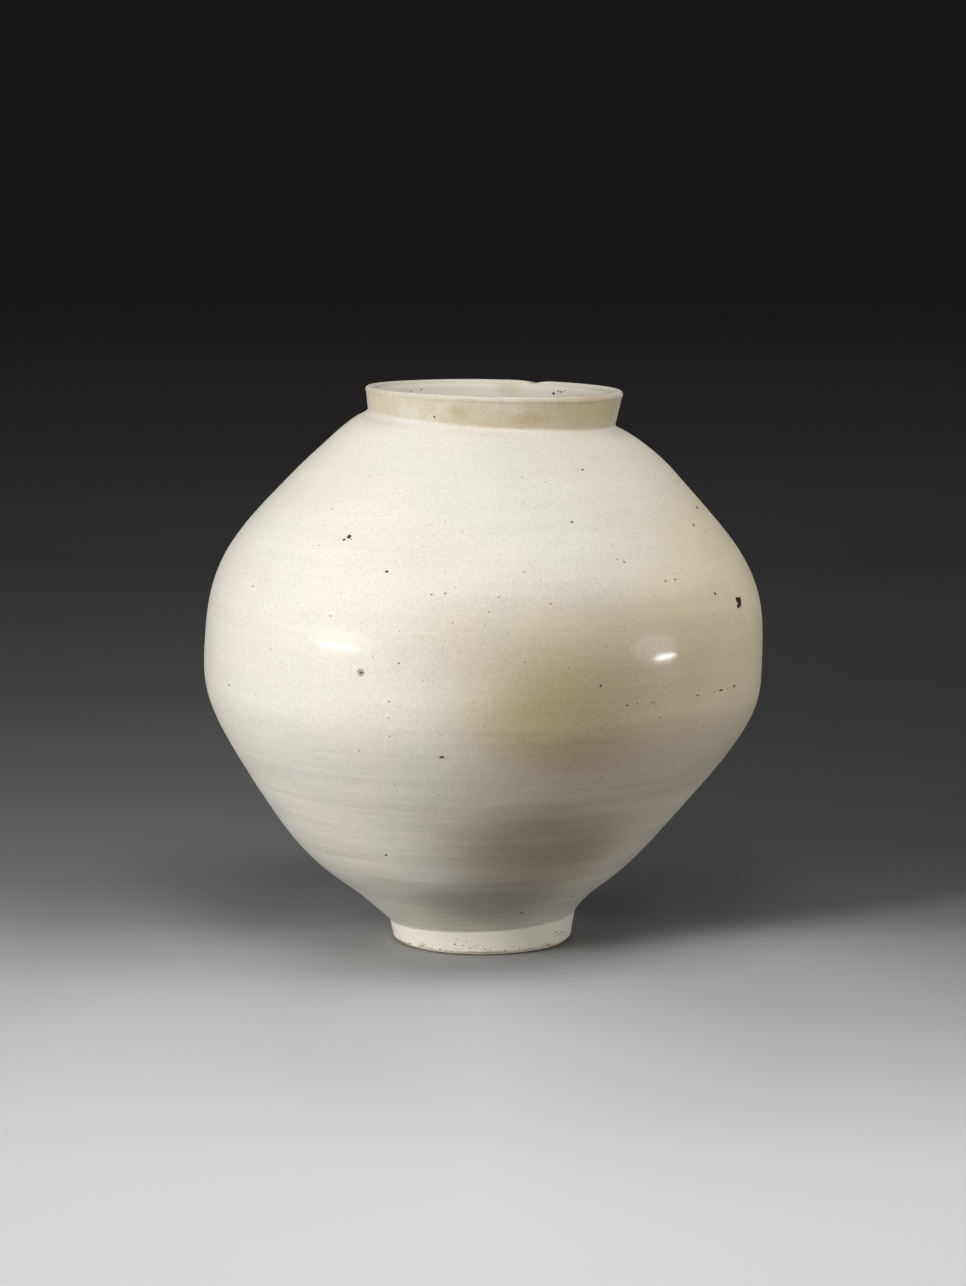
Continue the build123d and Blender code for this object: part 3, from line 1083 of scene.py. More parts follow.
# The front of the neck is stained like tea, from its joint up to the lip
NECK_START, NECK_END, NECK_FRONT = (0.4185, 0.4225), (0.4440, 0.4420), (0.03, -0.05)
# How many mottles to the metre, the least stain between them and how much more in them
MOTTLES, MOTTLED_LEAST, MOTTLED_MORE = 55.0, 0.78, 0.40
above = faded(tree, levelled(NECK_SLOPE), *NECK_START)
below = faded(tree, levelled(LIP_SLOPE), *NECK_END)
neck = times(tree, times(tree, above, below), faded(tree, y, *NECK_FRONT))
mottled = faded(tree, noise(tree, place, MOTTLES, 3.0, 0.6), 0.62, 0.38)
mottled = plus(tree, MOTTLED_LEAST, times(tree, mottled, MOTTLED_MORE))
colour = blended(tree, times(tree, neck, mottled), colour, NECK_STAIN, "MULTIPLY")
print(f"mouth and neck: {len(tree.nodes)} nodes so far")

# %% [markdown]
# ## Stains, painted shade and hairlines
#
# Long use has left soft stains, each a little darker or browner than the glaze round it.
# Over the lower front right, two of the marks are stain and painted shade together, and
# four are painted shade alone, where little light falls between the two lamps. Each is a
# placed mark that multiplies the colour under it, so that marks can overlap as real stains
# do, and the grain shows through them. Hairlines are thin and follow the skin, so each is a
# line between two places that are found on it.

# %% Old stains, and painted shade on the lower front right
# Place, half width, half height, strength and tint
STAINS_AND_SHADE = [
    (on_skin(74, 262), 200, 200, 1.00, WARM),
    # Stain and painted shade together, on the front right of the belly
    (on_skin(24, 214), 150, 84, 0.82, TEA_STAIN_AND_SHADE),
    (on_skin(14, 204), 100, 50, 0.72, LEATHER_STAIN_AND_SHADE),
    # Painted shade of the lower front right
    (on_skin(36, 180), 220, 130, 0.62, PAINTED_DUSK_SHADE),
    (on_skin(20, 116), 160, 94, 0.78, PAINTED_DUSK_SHADE),
    # A stain on the belly
    (on_skin(24, 266), 190, 70, 0.84, LEATHER_STAIN_AND_SHADE),
    # Painted shade of the lower body, and under the belly just above the foot
    (on_skin(17, 97), 98, 66, 0.95, PAINTED_SLATE_SHADE),
    (on_skin(2, 50), 84, 34, 1.00, PAINTED_ASH_SHADE),
    # Stains on the neck, inside the mouth and round the back, and marks at the chips and the foot
    (on_skin(2, 428), 60, 18, 0.40, TEA_STAIN_AND_SHADE),
    (on_skin(50, 429), 74, 22, 0.55, AMBER),
    (on_skin(20, 425), 26, 8, 0.40, AMBER),
    (on_skin(-12, 431), 14, 8, 0.50, MOSS),
    (on_skin(167, 434, inside=True), 16, 8, 0.60, MOSS),
    (on_skin(170, 250), 120, 70, 0.60, WARM),
    (on_skin(-125, 160), 90, 50, 0.45, TEA_STAIN_AND_SHADE),
    (on_lip(70), 8, 4, 0.95, UMBER),
    (on_lip(-91), 3, 2, 0.80, SCORCH),
    (on_skin(-42, 3.6), 5, 2.5, 0.90, UMBER),
    (on_skin(40, 4), 26, 2, 0.20, SCORCH),
]
MARK_EDGE = {"Softness": 0.75, "Ragged": 0.35}
for spot, wide, tall, strength, tint in STAINS_AND_SHADE:
    size = (wide * MM, wide * MM, tall * MM)
    mask = used(tree, placed_mark, {"Vector": place, "Place": spot, "Size": size, **MARK_EDGE})
    colour = blended(tree, times(tree, mask, strength), colour, tint, "MULTIPLY")
print(f"{len(STAINS_AND_SHADE)} stains")

# %% Hairlines, creases and scratches
# Azimuth and height of both ends, and width
HAIRLINES = [
    (65.6, 281.0, 66.5, 267.6, 0.9),
    (23.3, 202.9, 25.9, 209.6, 0.7),
    (17.1, 170.1, 18.9, 177.3, 0.7),
    (12.3, 107.1, 14.7, 110.3, 0.8),
    (-42.4, 278.8, -37.3, 268.9, 0.5),
    (31.0, 196.0, 62.0, 214.0, 0.4),
]
# Pale ones, where a tool or a crack has lifted the glaze
LIFTED = [(-22.8, 38.3, -11.1, 39.5, 0.8), (11.4, 305.0, 11.9, 268.0, 1.0)]
for lines, strength, tint in ((HAIRLINES, 0.6, RUST), (LIFTED, 0.5, INSIDE)):
    drawn = 0.0
    for start, start_height, end, end_height, width in lines:
        ends = {"From": on_skin(start, start_height), "To": on_skin(end, end_height)}
        mask = used(tree, scratch, {"Vector": place, "Width": width * MM, **ends})
        drawn = maths(tree, "MAXIMUM", drawn, mask)
    colour = blended(tree, times(tree, drawn, strength), colour, tint)
tree.links.new(colour, shader.inputs["Base Color"])
print(f"{len(HAIRLINES)} dark and {len(LIFTED)} pale hairlines")

# %% Gloss and relief of the outer glaze
GLOSS_CLOUDS, SMOOTHEST, ROUGHER = 30.0, 0.38, 0.16
GRIT_RELIEF = 2.2  # how much stronger the grit stands out than the rest
gloss = times(tree, noise(tree, place, GLOSS_CLOUDS, 3.0), ROUGHER)
tree.links.new(plus(tree, gloss, SMOOTHEST), shader.inputs["Roughness"])
gritty = times(tree, noise(tree, place, CRUMBS, 3.0, 0.7), faded(tree, z, *ROUGH))
relief = plus(tree, relief, times(tree, gritty, GRIT_RELIEF))
embossed(tree, shader, relief, 0.30)
outer_glaze.data.materials.append(glaze_material)
print(f"{glaze_material.name}: {len(tree.nodes)} nodes")

# %% The inner glaze's finish
# Nobody wipes the inside: it is soiled in clouds, and olive where dust settled on the floor
SOIL_CLOUDS, SOIL_EDGE, SOIL_STRENGTH = 9.0, (0.45, 0.75), 0.6
SETTLED_HEIGHTS, SETTLED_STRENGTH = (0.16, 0.03), 0.5
inner_material, tree, shader, place = finished("inner_milky_glaze", 0.4, 0.2, 0.14)
colour, relief = glazed(tree, place)
soil = faded(tree, noise(tree, place, SOIL_CLOUDS, 4.0, 0.65), *SOIL_EDGE)
colour = blended(tree, times(tree, soil, SOIL_STRENGTH), colour, WARM, "MULTIPLY")
settled = faded(tree, parts(tree, place)["Z"], *SETTLED_HEIGHTS)
colour = blended(tree, times(tree, settled, SETTLED_STRENGTH), colour, OLIVE)
tree.links.new(colour, shader.inputs["Base Color"])
embossed(tree, shader, relief, 0.4)
inner_glaze.data.materials.append(inner_material)
base_glaze.data.materials.append(inner_material)
print(f"{inner_material.name}: {len(tree.nodes)} nodes")

# %% [markdown]
# ## Iron spots and pits
#
# Crumbs of iron in the clay have melted through the glaze as dark glassy beads, a
# millimetre or two across, and the luted seam has opened into a row of pits. Painted dots
# would look flat from the side, so each is a small ball, pressed flat against the skin,
# with its points jittered so that no two are alike. They are then joined into one piece.
# Below, each spot is written by its azimuth, height, half width and half height.

# %% Where the iron is
# Dark beads
IRON_SPOTS = [
    (-33.8, 342.5, 1.9, 1.7),
    (-34.8, 340.2, 1.3, 1.0),
    (-33.0, 341.0, 0.8, 0.7),
    (-21.2, 320.2, 1.6, 1.1),
    (-24.4, 246.4, 1.5, 1.3),
    (-8.3, 183.7, 2.0, 1.2),
    (-28.7, 94.4, 1.4, 1.2),
    (33.4, 389.5, 1.1, 0.9),
    (75.9, 352.2, 2.6, 1.5),
    (44.9, 309.2, 1.1, 0.9),
    (32.9, 324.7, 0.9, 0.7),
    (56.3, 294.5, 1.4, 1.2),
    (23.3, 236.7, 1.1, 1.1),
    (46.4, 47.2, 1.6, 1.0),
    (19.8, 37.5, 1.6, 0.9),
    (-23.1, 427.5, 0.9, 0.8),
    (101.0, 318.0, 1.6, 1.3),
    (128.0, 268.0, 1.2, 1.0),
    (164.0, 331.0, 1.4, 1.1),
    (-168.0, 242.0, 1.1, 1.0),
    (-139.0, 296.0, 1.7, 1.2),
    (-112.0, 208.0, 1.2, 0.9),
    (143.0, 156.0, 1.3, 1.1),
]
# Smaller ones that came out rusty
RUST_SPOTS = [
    (-10.6, 305.6, 1.0, 0.6),
    (-7.8, 306.5, 1.1, 0.6),
    (-44.1, 360.0, 1.0, 0.8),
    (-32.1, 286.3, 0.8, 0.7),
    (-16.5, 254.9, 0.9, 0.9),
    (-25.7, 185.4, 0.8, 0.7),
    (-6.0, 285.6, 0.8, 0.6),
    (-18.4, 225.7, 0.8, 0.6),
    (-18.6, 213.0, 0.7, 0.6),
    (-18.6, 198.8, 0.8, 0.6),
    (23.1, 354.3, 1.3, 1.1),
    (64.2, 342.9, 1.9, 1.3),
    (67.4, 337.0, 1.0, 0.8),
    (42.0, 309.0, 1.0, 0.9),
    (31.3, 327.0, 0.8, 0.6),
    (13.8, 298.8, 0.8, 0.7),
    (8.9, 321.5, 0.7, 0.6),
    (3.2, 303.8, 0.7, 0.6),
    (1.1, 293.5, 0.7, 0.6),
    (8.1, 256.9, 0.8, 0.7),
    (26.5, 161.8, 0.9, 0.8),
    (37.1, 208.1, 1.1, 0.9),
    (11.0, 100.1, 0.8, 0.7),
    (13.8, 125.0, 0.8, 0.7),
    (-57.0, 300.0, 1.1, 0.9),
    (-84.0, 333.0, 1.1, 0.9),
    (-151.0, 122.0, 1.2, 1.0),
]
print(f"{len(IRON_SPOTS)} dark spots and {len(RUST_SPOTS)} rusty ones")

# %% Where the seam and the foot are pitted
# The luted joint of the belly opened a little in the fire
SEAM_PITS = [
    (29.2, 220.3, 1.6, 0.5),
    (31.5, 220.6, 1.0, 0.4),
    (35.2, 220.4, 1.3, 0.6),
    (47.4, 220.8, 1.5, 0.7),
    (53.0, 221.0, 1.0, 0.5),
    (55.4, 220.9, 3.2, 0.9),
    (58.0, 221.2, 1.2, 0.6),
    (60.8, 221.3, 2.2, 1.0),
    (-62.0, 221.4, 1.6, 0.6),
    (-96.0, 220.8, 2.0, 0.7),
    (118.0, 221.0, 2.4, 0.8),
    (124.0, 220.9, 1.2, 0.6),
    (171.0, 220.7, 1.8, 0.7),
]
# Pits in the wall of the foot
FOOT_PITS = [
    (-66.7, 4.2, 1.12, 0.64),
    (-53.6, 3.9, 1.36, 0.64),
    (-28.2, 3.8, 1.28, 0.56),
    (-17.9, 9.1, 0.99, 0.68),
    (-16.0, 13.6, 0.56, 0.43),
    (-12.7, 8.4, 1.12, 0.56),
    (-10.1, 11.8, 0.74, 0.50),
    (-8.2, 6.4, 0.87, 0.50),
    (-5.1, 8.2, 0.62, 0.43),
    (1.3, 5.6, 0.81, 0.50),
    (14.1, 4.0, 0.96, 0.48),
    (24.2, 4.4, 1.20, 0.64),
    (31.5, 6.6, 0.62, 0.50),
    (46.6, 4.1, 1.44, 0.72),
    (52.7, 13.6, 0.87, 0.68),
    (57.3, 10.5, 0.93, 0.62),
    (61.3, 11.4, 0.74, 0.68),
    (65.8, 7.4, 0.93, 0.56),
    (104.0, 8.0, 0.99, 0.56),
    (151.0, 5.0, 1.12, 0.64),
    (-98.0, 6.0, 0.74, 0.56),
    (-148.0, 9.0, 0.93, 0.56),
]
print(f"{len(SEAM_PITS)} pits along the seam and {len(FOOT_PITS)} in the foot")

# %% The crater, the black flaw and the mouth
# A small crater to the left of the middle is a crumb with a broken ring round it
CRATER_PLACE = (-24.4, 246.4)
CRATER_SIZE = (0.62, 2.4)  # degrees and millimetres
CRUMB = (0.7, 0.6)
CRATER = []
for turn in range(10, 360, 38):
    a = math.radians(turn)
    azimuth = CRATER_PLACE[0] + CRATER_SIZE[0] * math.cos(a)
    height = CRATER_PLACE[1] + CRATER_SIZE[1] * math.sin(a)
    CRATER.append((azimuth, height, *CRUMB))
# The black flaw at the right is a large burnt crumb in several lobes
BLACK_FLAW = [
    (65.0, 286.2, 3.0, 2.4),
    (65.6, 283.4, 3.4, 2.8),
    (64.6, 281.4, 2.4, 1.8),
    (66.3, 285.8, 2.2, 2.4),
]
# Specks on the inner wall of the mouth, seen over the lip
MOUTH_SPOTS = [
    (143.4, 431.8, 1.3, 1.0),
    (141.0, 433.8, 0.9, 0.6),
    (139.2, 433.4, 1.1, 0.8),
    (137.4, 434.4, 0.8, 0.6),
    (-144.9, 435.4, 0.8, 0.6),
    (-137.1, 434.6, 0.7, 0.6),
]
print(f"a crater of {len(CRATER)} crumbs and a flaw of {len(BLACK_FLAW)} lobes")


# %% The helper that sets beads in the skin
def beaded(name, places, proud, material, jitter=0.3, inside=False):
    """Flat jittered beads at these places, joined into one piece."""
    beads = []
    for seed, (azimuth, height, across, up) in enumerate(places):
        point, facing = seat(azimuth, height, inside)
        bpy.ops.object.select_all(action="DESELECT")
        bpy.ops.mesh.primitive_ico_sphere_add(subdivisions=2, radius=MM)
        bead = bpy.context.object
        bpy.ops.object.mode_set(mode="EDIT")
        bpy.ops.mesh.select_all(action="SELECT")
        bpy.ops.transform.vertex_random(offset=jitter * MM, seed=seed)
        bpy.ops.transform.resize(value=(across, up, proud))
        bpy.ops.object.mode_set(mode="OBJECT")
        bpy.ops.object.shade_smooth()
        side = Vector((-facing.y, facing.x, 0)).normalized()
        turn = Matrix((side, facing.cross(side), facing)).transposed()
        bead.matrix_world = Matrix.Translation(point) @ turn.to_4x4()
        beads.append(bead)
    for bead in beads:
        bead.select_set(True)
    bpy.context.view_layer.objects.active = beads[0]
    bpy.ops.object.join()
    piece = bpy.context.object
    piece.name = piece.data.name = name
    bpy.ops.object.transform_apply(location=True, rotation=True, scale=True)
    piece.data.materials.append(material)
    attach(piece, "root")
    return piece


print("a bead: a small ball, jittered, pressed flat and turned to face outwards")


# %% Finishes of the iron
CLOTS = 900.0  # per metre


def iron_finish(name, dark, light):
    """A glassy crumb of iron, in two tones."""
    material, tree, shader, place = finished(name, 0.3, 0.3)
    clots = noise(tree, place, CLOTS, 3.0, 0.6)
    colour = blended(tree, faded(tree, clots, 0.45, 0.7), dark, light)
    tree.links.new(colour, shader.inputs["Base Color"])
    tree.links.new(times(tree, clots, 0.8), shader.inputs["Roughness"])
    embossed(tree, shader, clots, 0.2)
    return material


iron_material = iron_finish("burnt_iron", IRON, RUST)
rust_material = iron_finish("rusty_iron", RUST, BROWN)
black_material = iron_finish("fused_iron", IRON, IRON)
print("iron:", iron_material.name, rust_material.name, black_material.name)

# %% Set the spots in the skin
# Name, places, how far they stand out in millimetres, finish, jitter, and whether inside
for name, places, proud, material, jitter, inside in (
    ("iron_spots", IRON_SPOTS, 0.20, iron_material, 0.3, False),
    ("rust_spots", RUST_SPOTS, 0.12, rust_material, 0.3, False),
    ("seam_pits", SEAM_PITS, 0.14, iron_material, 0.3, False),
    ("black_flaw", BLACK_FLAW, 0.70, black_material, 0.12, False),
    ("crater_ring", CRATER, 0.16, iron_material, 0.3, False),
    ("foot_pits", FOOT_PITS, 0.14, rust_material, 0.35, False),
    ("mouth_spots", MOUTH_SPOTS, 0.16, iron_material, 0.3, True),
):
    piece = beaded(name, places, proud, material, jitter, inside)
    print(f"{piece.name}: {len(places)} beads, {len(piece.data.polygons)} faces")

# %% [markdown]
# ## Bare clay and slip
#
# Where the foot stood in the kiln the clay is bare: dry, warm white, and flushed orange by
# the fire at its edges, with brown pits. One recipe with a few values makes every clay,
# because all of them came from one body of clay. The bowls and the slips stay hidden under
# the glaze, but each has its own dry clay, with the drag marks of trimming, so that the
# jar can be cut open or come apart and still look right.

# %% The recipe for dry clay
CLAY = (0.90, 0.87, 0.76, 1)
FLUSHED_CLAY = (0.84, 0.74, 0.57, 1)
FLUSH = (0.62, 0.36, 0.16, 1)
SAND = (0.34, 0.24, 0.15, 1)
# How many to the metre, and from which value of the clouds to which a flush shows
CLAY_CLOUDS, CLAY_PITS, CLAY_GRAIN = 26.0, 240.0, 900.0
CLOUDED, FLUSHED = (0.42, 0.66), (0.55, 0.8)


def dry_clay(name, tint, flush, line_scale, roughness):
    """A dry clay with grain, drag marks, an orange flush and brown pits."""
    material, tree, shader, place = finished(name, roughness)
    clouds = noise(tree, place, CLAY_CLOUDS, 4.0, 0.6)
    colour = blended(tree, faded(tree, clouds, *CLOUDED), tint, CREAM)
    flushed = times(tree, faded(tree, clouds, *FLUSHED), flush)
    colour = blended(tree, flushed, colour, FLUSH)
    pits = specked(tree, place, CLAY_PITS, 0.3, 0.3)
    colour = blended(tree, times(tree, pits, 0.85), colour, SAND)
    tree.links.new(colour, shader.inputs["Base Color"])
    lines = used(tree, wheel_lines, {"Vector": place, "Per metre": line_scale})
    grain = noise(tree, place, CLAY_GRAIN, 3.0, 0.7)
    relief = plus(tree, times(tree, grain, 0.5), times(tree, lines, 0.5))
    embossed(tree, shader, minus(tree, relief, pits), 0.25)
    return material


foot_clay = dry_clay("bare_fired_foot", FLUSHED_CLAY, 0.9, 200.0, 0.85)
collar_clay = dry_clay("collar_porcelain", CLAY, 0.3, 300.0, 0.75)
sand_clay = dry_clay("fired_sand", FOOT_WHITE, 0.5, 300.0, 0.8)
fired_foot.data.materials.append(foot_clay)
fired_collar.data.materials.append(collar_clay)
print("clays that show:", foot_clay.name, collar_clay.name, sand_clay.name)

# %% Finish the CAD nodes
# Name, tint, flush, drag marks to the metre and roughness of each hidden clay
HIDDEN_CLAY = {
    "lower_bowl": ("thrown_porcelain", CLAY, 0.2, 150.0, 0.8),
    "upper_bowl": ("turned_porcelain", CLAY, 0.15, 220.0, 0.8),
    "seam_coil": ("wiped_porcelain", CLAY, 0.1, 90.0, 0.85),
    "belly_slip": ("belly_slip_clay", GREY, 0.1, 60.0, 0.9),
    "collar_slip": ("collar_slip_clay", GREY, 0.2, 60.0, 0.9),
    "foot_slip": ("foot_slip_clay", GREY, 0.3, 60.0, 0.9),
}
node_finishes = {name: dry_clay(*recipe) for name, recipe in HIDDEN_CLAY.items()}
node_finishes["outer_glaze"] = glaze_material
node_finishes["inner_glaze"] = inner_material
node_finishes["base_glaze"] = inner_material
node_finishes["foot_ring"] = foot_clay
node_finishes["mouth_collar"] = collar_clay
for name, material in node_finishes.items():
    nodes[name].data.materials.clear()
    nodes[name].data.materials.append(material)
print(f"{len(node_finishes)} CAD nodes finished")

# %% [markdown]
# ## Kiln sand on the foot
#
# The jar stood on sand in the kiln, and crumbs of it are stuck in the glaze at the lower
# edge of the foot, more at some places than at others. They are beads like the iron, so
# the same helper makes them. Where each one lies doesn't matter, so a seeded draw scatters
# them over a few patches, and gives the same crumbs in each run.

# %% Scatter the kiln sand
# Azimuth and height of each patch, how far it spreads both ways, and how many crumbs
SAND_PATCHES = [
    (-12.0, 6.5, 9.0, 3.4, 30),
    (20.0, 4.6, 18.0, 1.3, 20),
    (33.0, 8.0, 5.0, 3.0, 8),
    (58.0, 10.5, 7.0, 3.2, 18),
    (-46.0, 4.3, 15.0, 1.0, 8),
    (150.0, 5.0, 40.0, 1.8, 20),
]
SKIN_EDGE = 3.4  # below this height the foot has no glaze to hold a crumb
CRUMB_WIDTHS, CRUMB_HEIGHTS = (0.4, 1.1), (0.3, 0.7)  # half sizes, least and most
CRUMB_PROUD, CRUMB_JITTER = 0.38, 0.35
chance = random.Random(11)
crumbs = [
    (
        azimuth + chance.uniform(-sideways, sideways),
        max(SKIN_EDGE, height + chance.uniform(-rise, rise)),
        chance.uniform(*CRUMB_WIDTHS),
        chance.uniform(*CRUMB_HEIGHTS),
    )
    for azimuth, height, sideways, rise, count in SAND_PATCHES
    for _ in range(count)
]
kiln_sand = beaded("kiln_sand", crumbs, CRUMB_PROUD, sand_clay, CRUMB_JITTER)
print(f"{kiln_sand.name}: {len(crumbs)} crumbs")

# %% [markdown]
# ## The floor
#
# The jar stands on a plain pale floor that falls away into a dark room. The floor's colour
# does that as painted light: pale in front, darker behind, and darker again at the back
# right, a painted shadow of the jar where the beam of the main lamp doesn't reach. It is
# darkened as painted shade under the two low lamps, and far off it glows faintly in the
# room's colour. The camera sees that colour in full, while the jar gets less of its bounce,
# as from a floor lit by a narrow beam.

# %% Lay the floor
FLOOR_SIZE = 80.0  # metres: its edge is lost in the dark
bpy.ops.object.select_all(action="DESELECT")
bpy.ops.mesh.primitive_plane_add(size=FLOOR_SIZE)
floor = bpy.context.object
floor.name = "studio_floor"
floor_material, tree, shader, place = finished("pale_floor", 0.9)
shader.inputs["Specular IOR Level"].default_value = 0.0
across, depth, _ = parts(tree, place)
print(f"{floor.name}: {FLOOR_SIZE:.0f} m across")

# %% Painted light on the floor, from front to back
# Painted light: how pale the floor is at each distance behind the jar, in metres
PAINTED_FLOOR_LIGHT = [
    (-0.91, 0.73),
    (-0.66, 0.71),
    (-0.34, 0.63),
    (-0.15, 0.515),
    (0.0, 0.385),
    (0.06, 0.300),
    (0.14, 0.236),
    (0.22, 0.196),
    (0.31, 0.176),
    (0.6, 0.142),
    (0.93, 0.116),
    (1.34, 0.084),
    (2.4, 0.034),
]
NEAR_END, FAR_END = -1.0, 2.5
BLUER = 1.01  # the floor is a touch bluer than grey
reach = {"Value": depth, "From Min": NEAR_END, "From Max": FAR_END}
ramp = node(tree, "ValToRGB", {0: node(tree, "MapRange", reach).outputs[0]})
stops = ramp.color_ramp.elements
while len(stops) < len(PAINTED_FLOOR_LIGHT):
    stops.new(1.0)
for stop, (behind, tone) in zip(stops, PAINTED_FLOOR_LIGHT):
    stop.position = (behind - NEAR_END) / (FAR_END - NEAR_END)
    stop.color = (tone, tone, tone * BLUER, 1)
print(f"{len(stops)} tones from {PAINTED_FLOOR_LIGHT[0][1]} to {PAINTED_FLOOR_LIGHT[-1][1]}")

# %% The jar's painted shadow behind the beam
# The beam's edge, where the painted shadow begins, runs from the right of the foot towards
# the back right
BEAM_EDGE = Vector((0.101, -0.017, 0.0))
BEYOND = Vector((-0.137, 0.226, 0.0)).normalized()
PAINTED_SHADOW_DEPTH = 0.48
# From none to full, in metres: past the beam's edge, to the right, and from far to near
SOFT_EDGE, SHADE_RIGHT, SHADE_NEAR = (-0.065, 0.03), (-0.08, 0.14), (2.6, 0.4)
# Painted shadow: the floor's colour is darkened where the jar keeps the main lamp off it
past_edge = vectors(tree, "SUBTRACT", place, BEAM_EDGE)
past_edge = vectors(tree, "DOT_PRODUCT", past_edge, BEYOND, output=1)
shade = faded(tree, past_edge, *SOFT_EDGE)
shade = times(tree, shade, faded(tree, across, *SHADE_RIGHT))
shade = times(tree, shade, faded(tree, depth, *SHADE_NEAR))
lit = minus(tree, 1.0, times(tree, shade, PAINTED_SHADOW_DEPTH))
print(f"the shade takes {PAINTED_SHADOW_DEPTH:.0%} of the floor's light")

# %% Painted fall of light to both sides of the floor
# Painted light: the floor's colour darkens a little to both sides, as the lamps' light falls off
RIGHT_LOSS, RIGHT_END = 0.95, 0.5  # share lost per metre, and where it stops
LEFT_LOSS, LEFT_END = 0.65, 0.35
# From none to full, in metres behind the jar
RIGHT_FRONT, RIGHT_BACK, LEFT_BACK = (-0.9, -0.15), (0.25, 0.05), (0.2, -0.1)
rightwards = maths(tree, "MINIMUM", maths(tree, "MAXIMUM", across, 0.0), RIGHT_END)
slope = times(tree, faded(tree, depth, *RIGHT_FRONT), RIGHT_LOSS)
slope = times(tree, faded(tree, depth, *RIGHT_BACK), slope)
sideways = minus(tree, 1.0, times(tree, rightwards, slope))
leftwards = maths(tree, "MAXIMUM", times(tree, across, -1.0), 0.0)
leftwards = maths(tree, "MINIMUM", leftwards, LEFT_END)
lean = times(tree, faded(tree, depth, *LEFT_BACK), LEFT_LOSS)
sideways = minus(tree, sideways, times(tree, leftwards, lean))
print(f"at most {RIGHT_LOSS * RIGHT_END:.0%} at the right, {LEFT_LOSS * LEFT_END:.0%} at the left")

# %% Painted shade under the low lamps, and the far floor
# Under the two low lamps, out of the picture, the floor's colour is darkened as painted
# shade, to keep their light from glaring there: where each lies, how far it reaches and how
# much it takes away
LAMP_POOL_SHADES = [
    (Vector((-1.52, -0.91, 0.0)), 1.15, 0.93),
    (Vector((1.32, -0.46, 0.0)), 0.92, 0.82),
]
POOL_SHADE_MIDDLE = 0.3  # up to here the painted shade is darkest
# Far from the jar the floor's colour fades to black, as painted fall of light into the room
DARKENS = (2.2, 12.0)  # metres from the jar: where the floor starts to darken and is black
from_jar = vectors(tree, "LENGTH", place, output=1)
far = minus(tree, 1.0, faded(tree, from_jar, *DARKENS))
for middle, pool_shade_edge, strength in LAMP_POOL_SHADES:
    from_lamp = distance(tree, place, middle)
    pool_shade = times(tree, faded(tree, from_lamp, pool_shade_edge, POOL_SHADE_MIDDLE), strength)
    far = times(tree, far, minus(tree, 1.0, pool_shade))
tone = grey(tree, times(tree, times(tree, lit, sideways), far))
floor_colour = blended(tree, 1.0, ramp.outputs[0], tone, "MULTIPLY")
# Count the painted shades under the low lamps
print(f"{len(LAMP_POOL_SHADES)} dark cloths")

# %% Join the floor to the room
BOUNCE_SHARE = 0.4  # how much of the floor's colour reaches the jar
ROOM = (0.0092, 0.0082, 0.0088, 1)
NEAR_ROOM_GLOW = (0.0150, 0.0135, 0.0142, 1)  # a little brighter painted glow over the nearer floor
BLACK = (0, 0, 0, 1)
# Metres from the jar: where the floor's painted glow in the room's colour takes over, and
# where its brighter near glow ends
GLOW_REACH, NEAR_GLOW_REACH = (0.9, 4.0), (9.0, 4.0)
path = node(tree, "LightPath").outputs
seen = maths(tree, "MAXIMUM", path["Is Camera Ray"], path["Is Glossy Ray"])
share = (BOUNCE_SHARE, BOUNCE_SHARE, BOUNCE_SHARE, 1)
dimmed = blended(tree, 1.0, floor_colour, share, "MULTIPLY")
tree.links.new(blended(tree, seen, dimmed, floor_colour), shader.inputs["Base Color"])
# Away from the jar the floor glows faintly in the room's colour: painted light, not a lamp
shader.inputs["Emission Strength"].default_value = 1.0
glow_share = times(tree, faded(tree, from_jar, *GLOW_REACH), seen)
room_glow = blended(tree, faded(tree, from_jar, *NEAR_GLOW_REACH), ROOM, NEAR_ROOM_GLOW)
tree.links.new(blended(tree, glow_share, BLACK, room_glow), shader.inputs["Emission Color"])
floor.data.materials.append(floor_material)
print(f"{floor_material.name}: {len(tree.nodes)} nodes")

# %% [markdown]
# ## The room
#
# Behind the floor there is only a dark room. Light Path's camera ray tells what the camera
# sees, which is the room's own near black, from what the jar feels, which is a very weak
# even light that keeps its deepest shadows from going black.

# %% Darken the room
world = bpy.data.worlds.new("dark_room")
bpy.context.scene.world = world
world.use_nodes = True
tree = world.node_tree
tree.nodes.clear()
AMBIENT = (0.02, 0.02, 0.02, 1)
shown = node(tree, "Background", {"Color": ROOM, "Strength": 1.0})
felt = node(tree, "Background", {"Color": AMBIENT, "Strength": 1.0})
path = node(tree, "LightPath").outputs
seen = maths(tree, "MAXIMUM", path["Is Camera Ray"], path["Is Transmission Ray"])
mixed = node(tree, "MixShader", {0: seen, 1: felt.outputs[0], 2: shown.outputs[0]})
tree.links.new(mixed.outputs[0], node(tree, "OutputWorld").inputs[0])
print("room:", ROOM[:3])

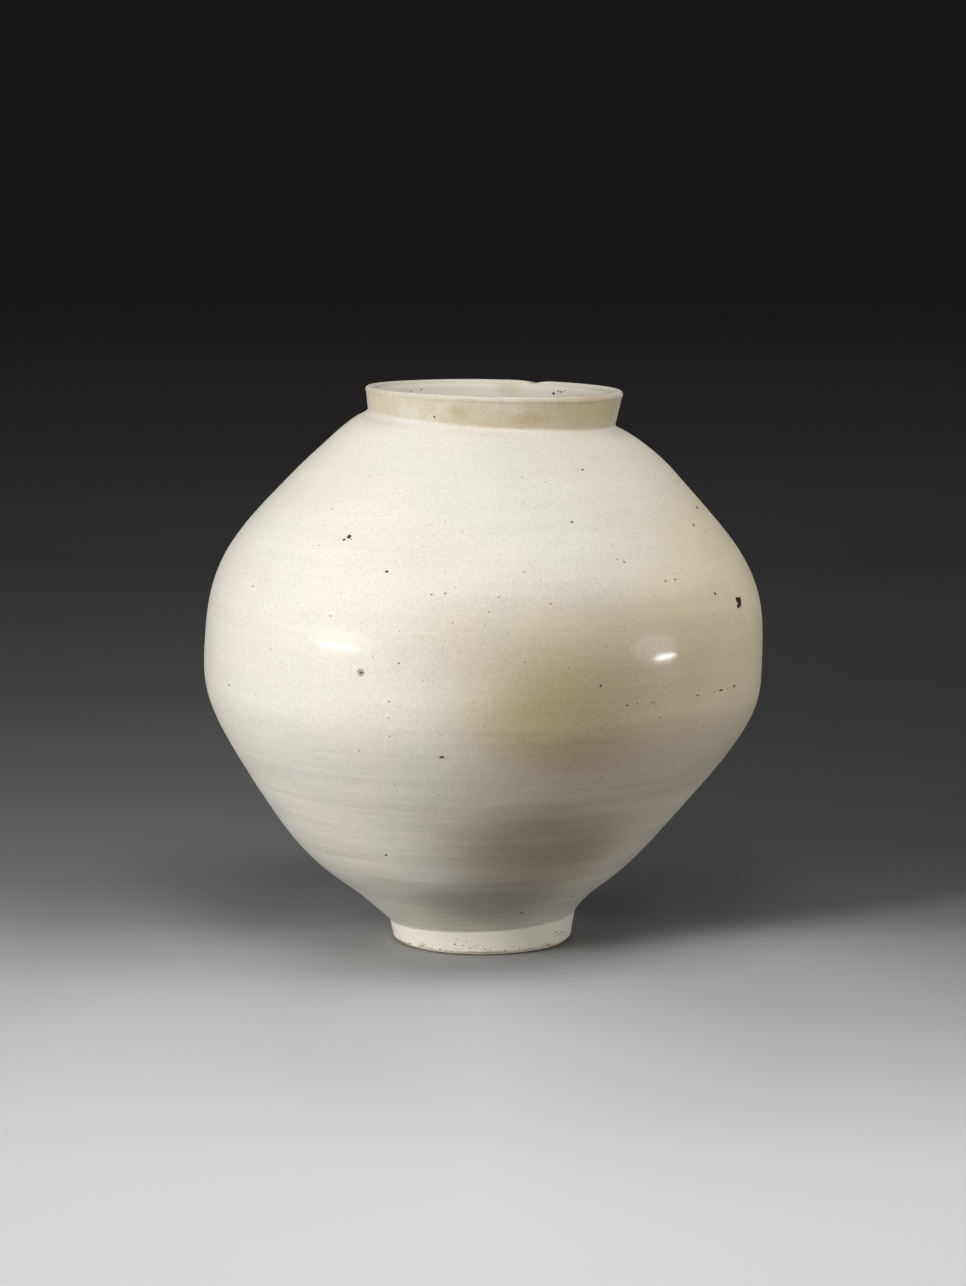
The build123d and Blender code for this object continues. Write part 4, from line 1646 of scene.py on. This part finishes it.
# %% [markdown]
# ## The lamps
#
# A low soft lamp at the left front models the form and gives the wide highlight. It is
# three lamps, one behind another: a small core that the glaze reflects brightly, a larger
# glow round it, and the largest, which only lights. Each stands a little nearer than the
# one that it hides, because a lamp behind another would give no reflection. At the right a
# narrow lamp in front of a weak glow gives the sharp highlight.
#
# The others are fill light from all round. They are hidden from reflections, as a
# photographer does with a polarised fill, so that the gloss shows two highlights and no
# more.

# %% Set the lamps
# Name, azimuth from the front towards the right, elevation, distance, width, height,
# watts, and whether it shows in reflections
LAMPS = [
    ("key_softbox", -59, 5, 1.78, 0.84, 0.25, 6.8, False),
    ("key_glow", -56, 7, 1.73, 0.95, 0.34, 6.2, True),
    ("key_core", -58, 5, 1.68, 0.50, 0.10, 5.6, True),
    ("front_fill", -40, 32, 1.90, 0.70, 0.70, 4.8, False),
    ("low_fill", -24, 3, 2.30, 0.80, 0.50, 5.0, False),
    ("high_fill", 5, 44, 1.90, 0.60, 0.60, 4.8, False),
    ("overhead_fill", 0, 66, 1.90, 1.00, 1.00, 9.4, False),
    ("shoulder_fill", 60, 58, 1.90, 0.80, 0.80, 8.0, False),
    ("right_lamp", 73, -3.0, 1.50, 0.28, 0.03, 3.2, True),
    ("right_glow", 68, 2, 1.60, 0.60, 0.36, 4.0, True),
    ("back_fill", 187, 34, 3.40, 1.50, 1.50, 31.0, False),
]
MIDDLE = Vector((0, 0, 0.22))  # what every lamp is aimed at
for name, azimuth, elevation, away, width, height, watts, reflected in LAMPS:
    a, e = math.radians(azimuth), math.radians(elevation)
    way = Vector((math.sin(a) * math.cos(e), -math.cos(a) * math.cos(e), math.sin(e)))
    bpy.ops.object.light_add(
        type="AREA",
        location=MIDDLE + way * away,
        rotation=(-way).to_track_quat("-Z", "Y").to_euler(),
    )
    lamp = bpy.context.object
    lamp.name = name
    lamp.data.shape = "ELLIPSE"
    lamp.data.size, lamp.data.size_y = width, height
    lamp.data.energy = watts
    lamp.visible_glossy = reflected
    print(f"{name}: {watts} W")
bpy.context.scene.view_settings.view_transform = "Standard"
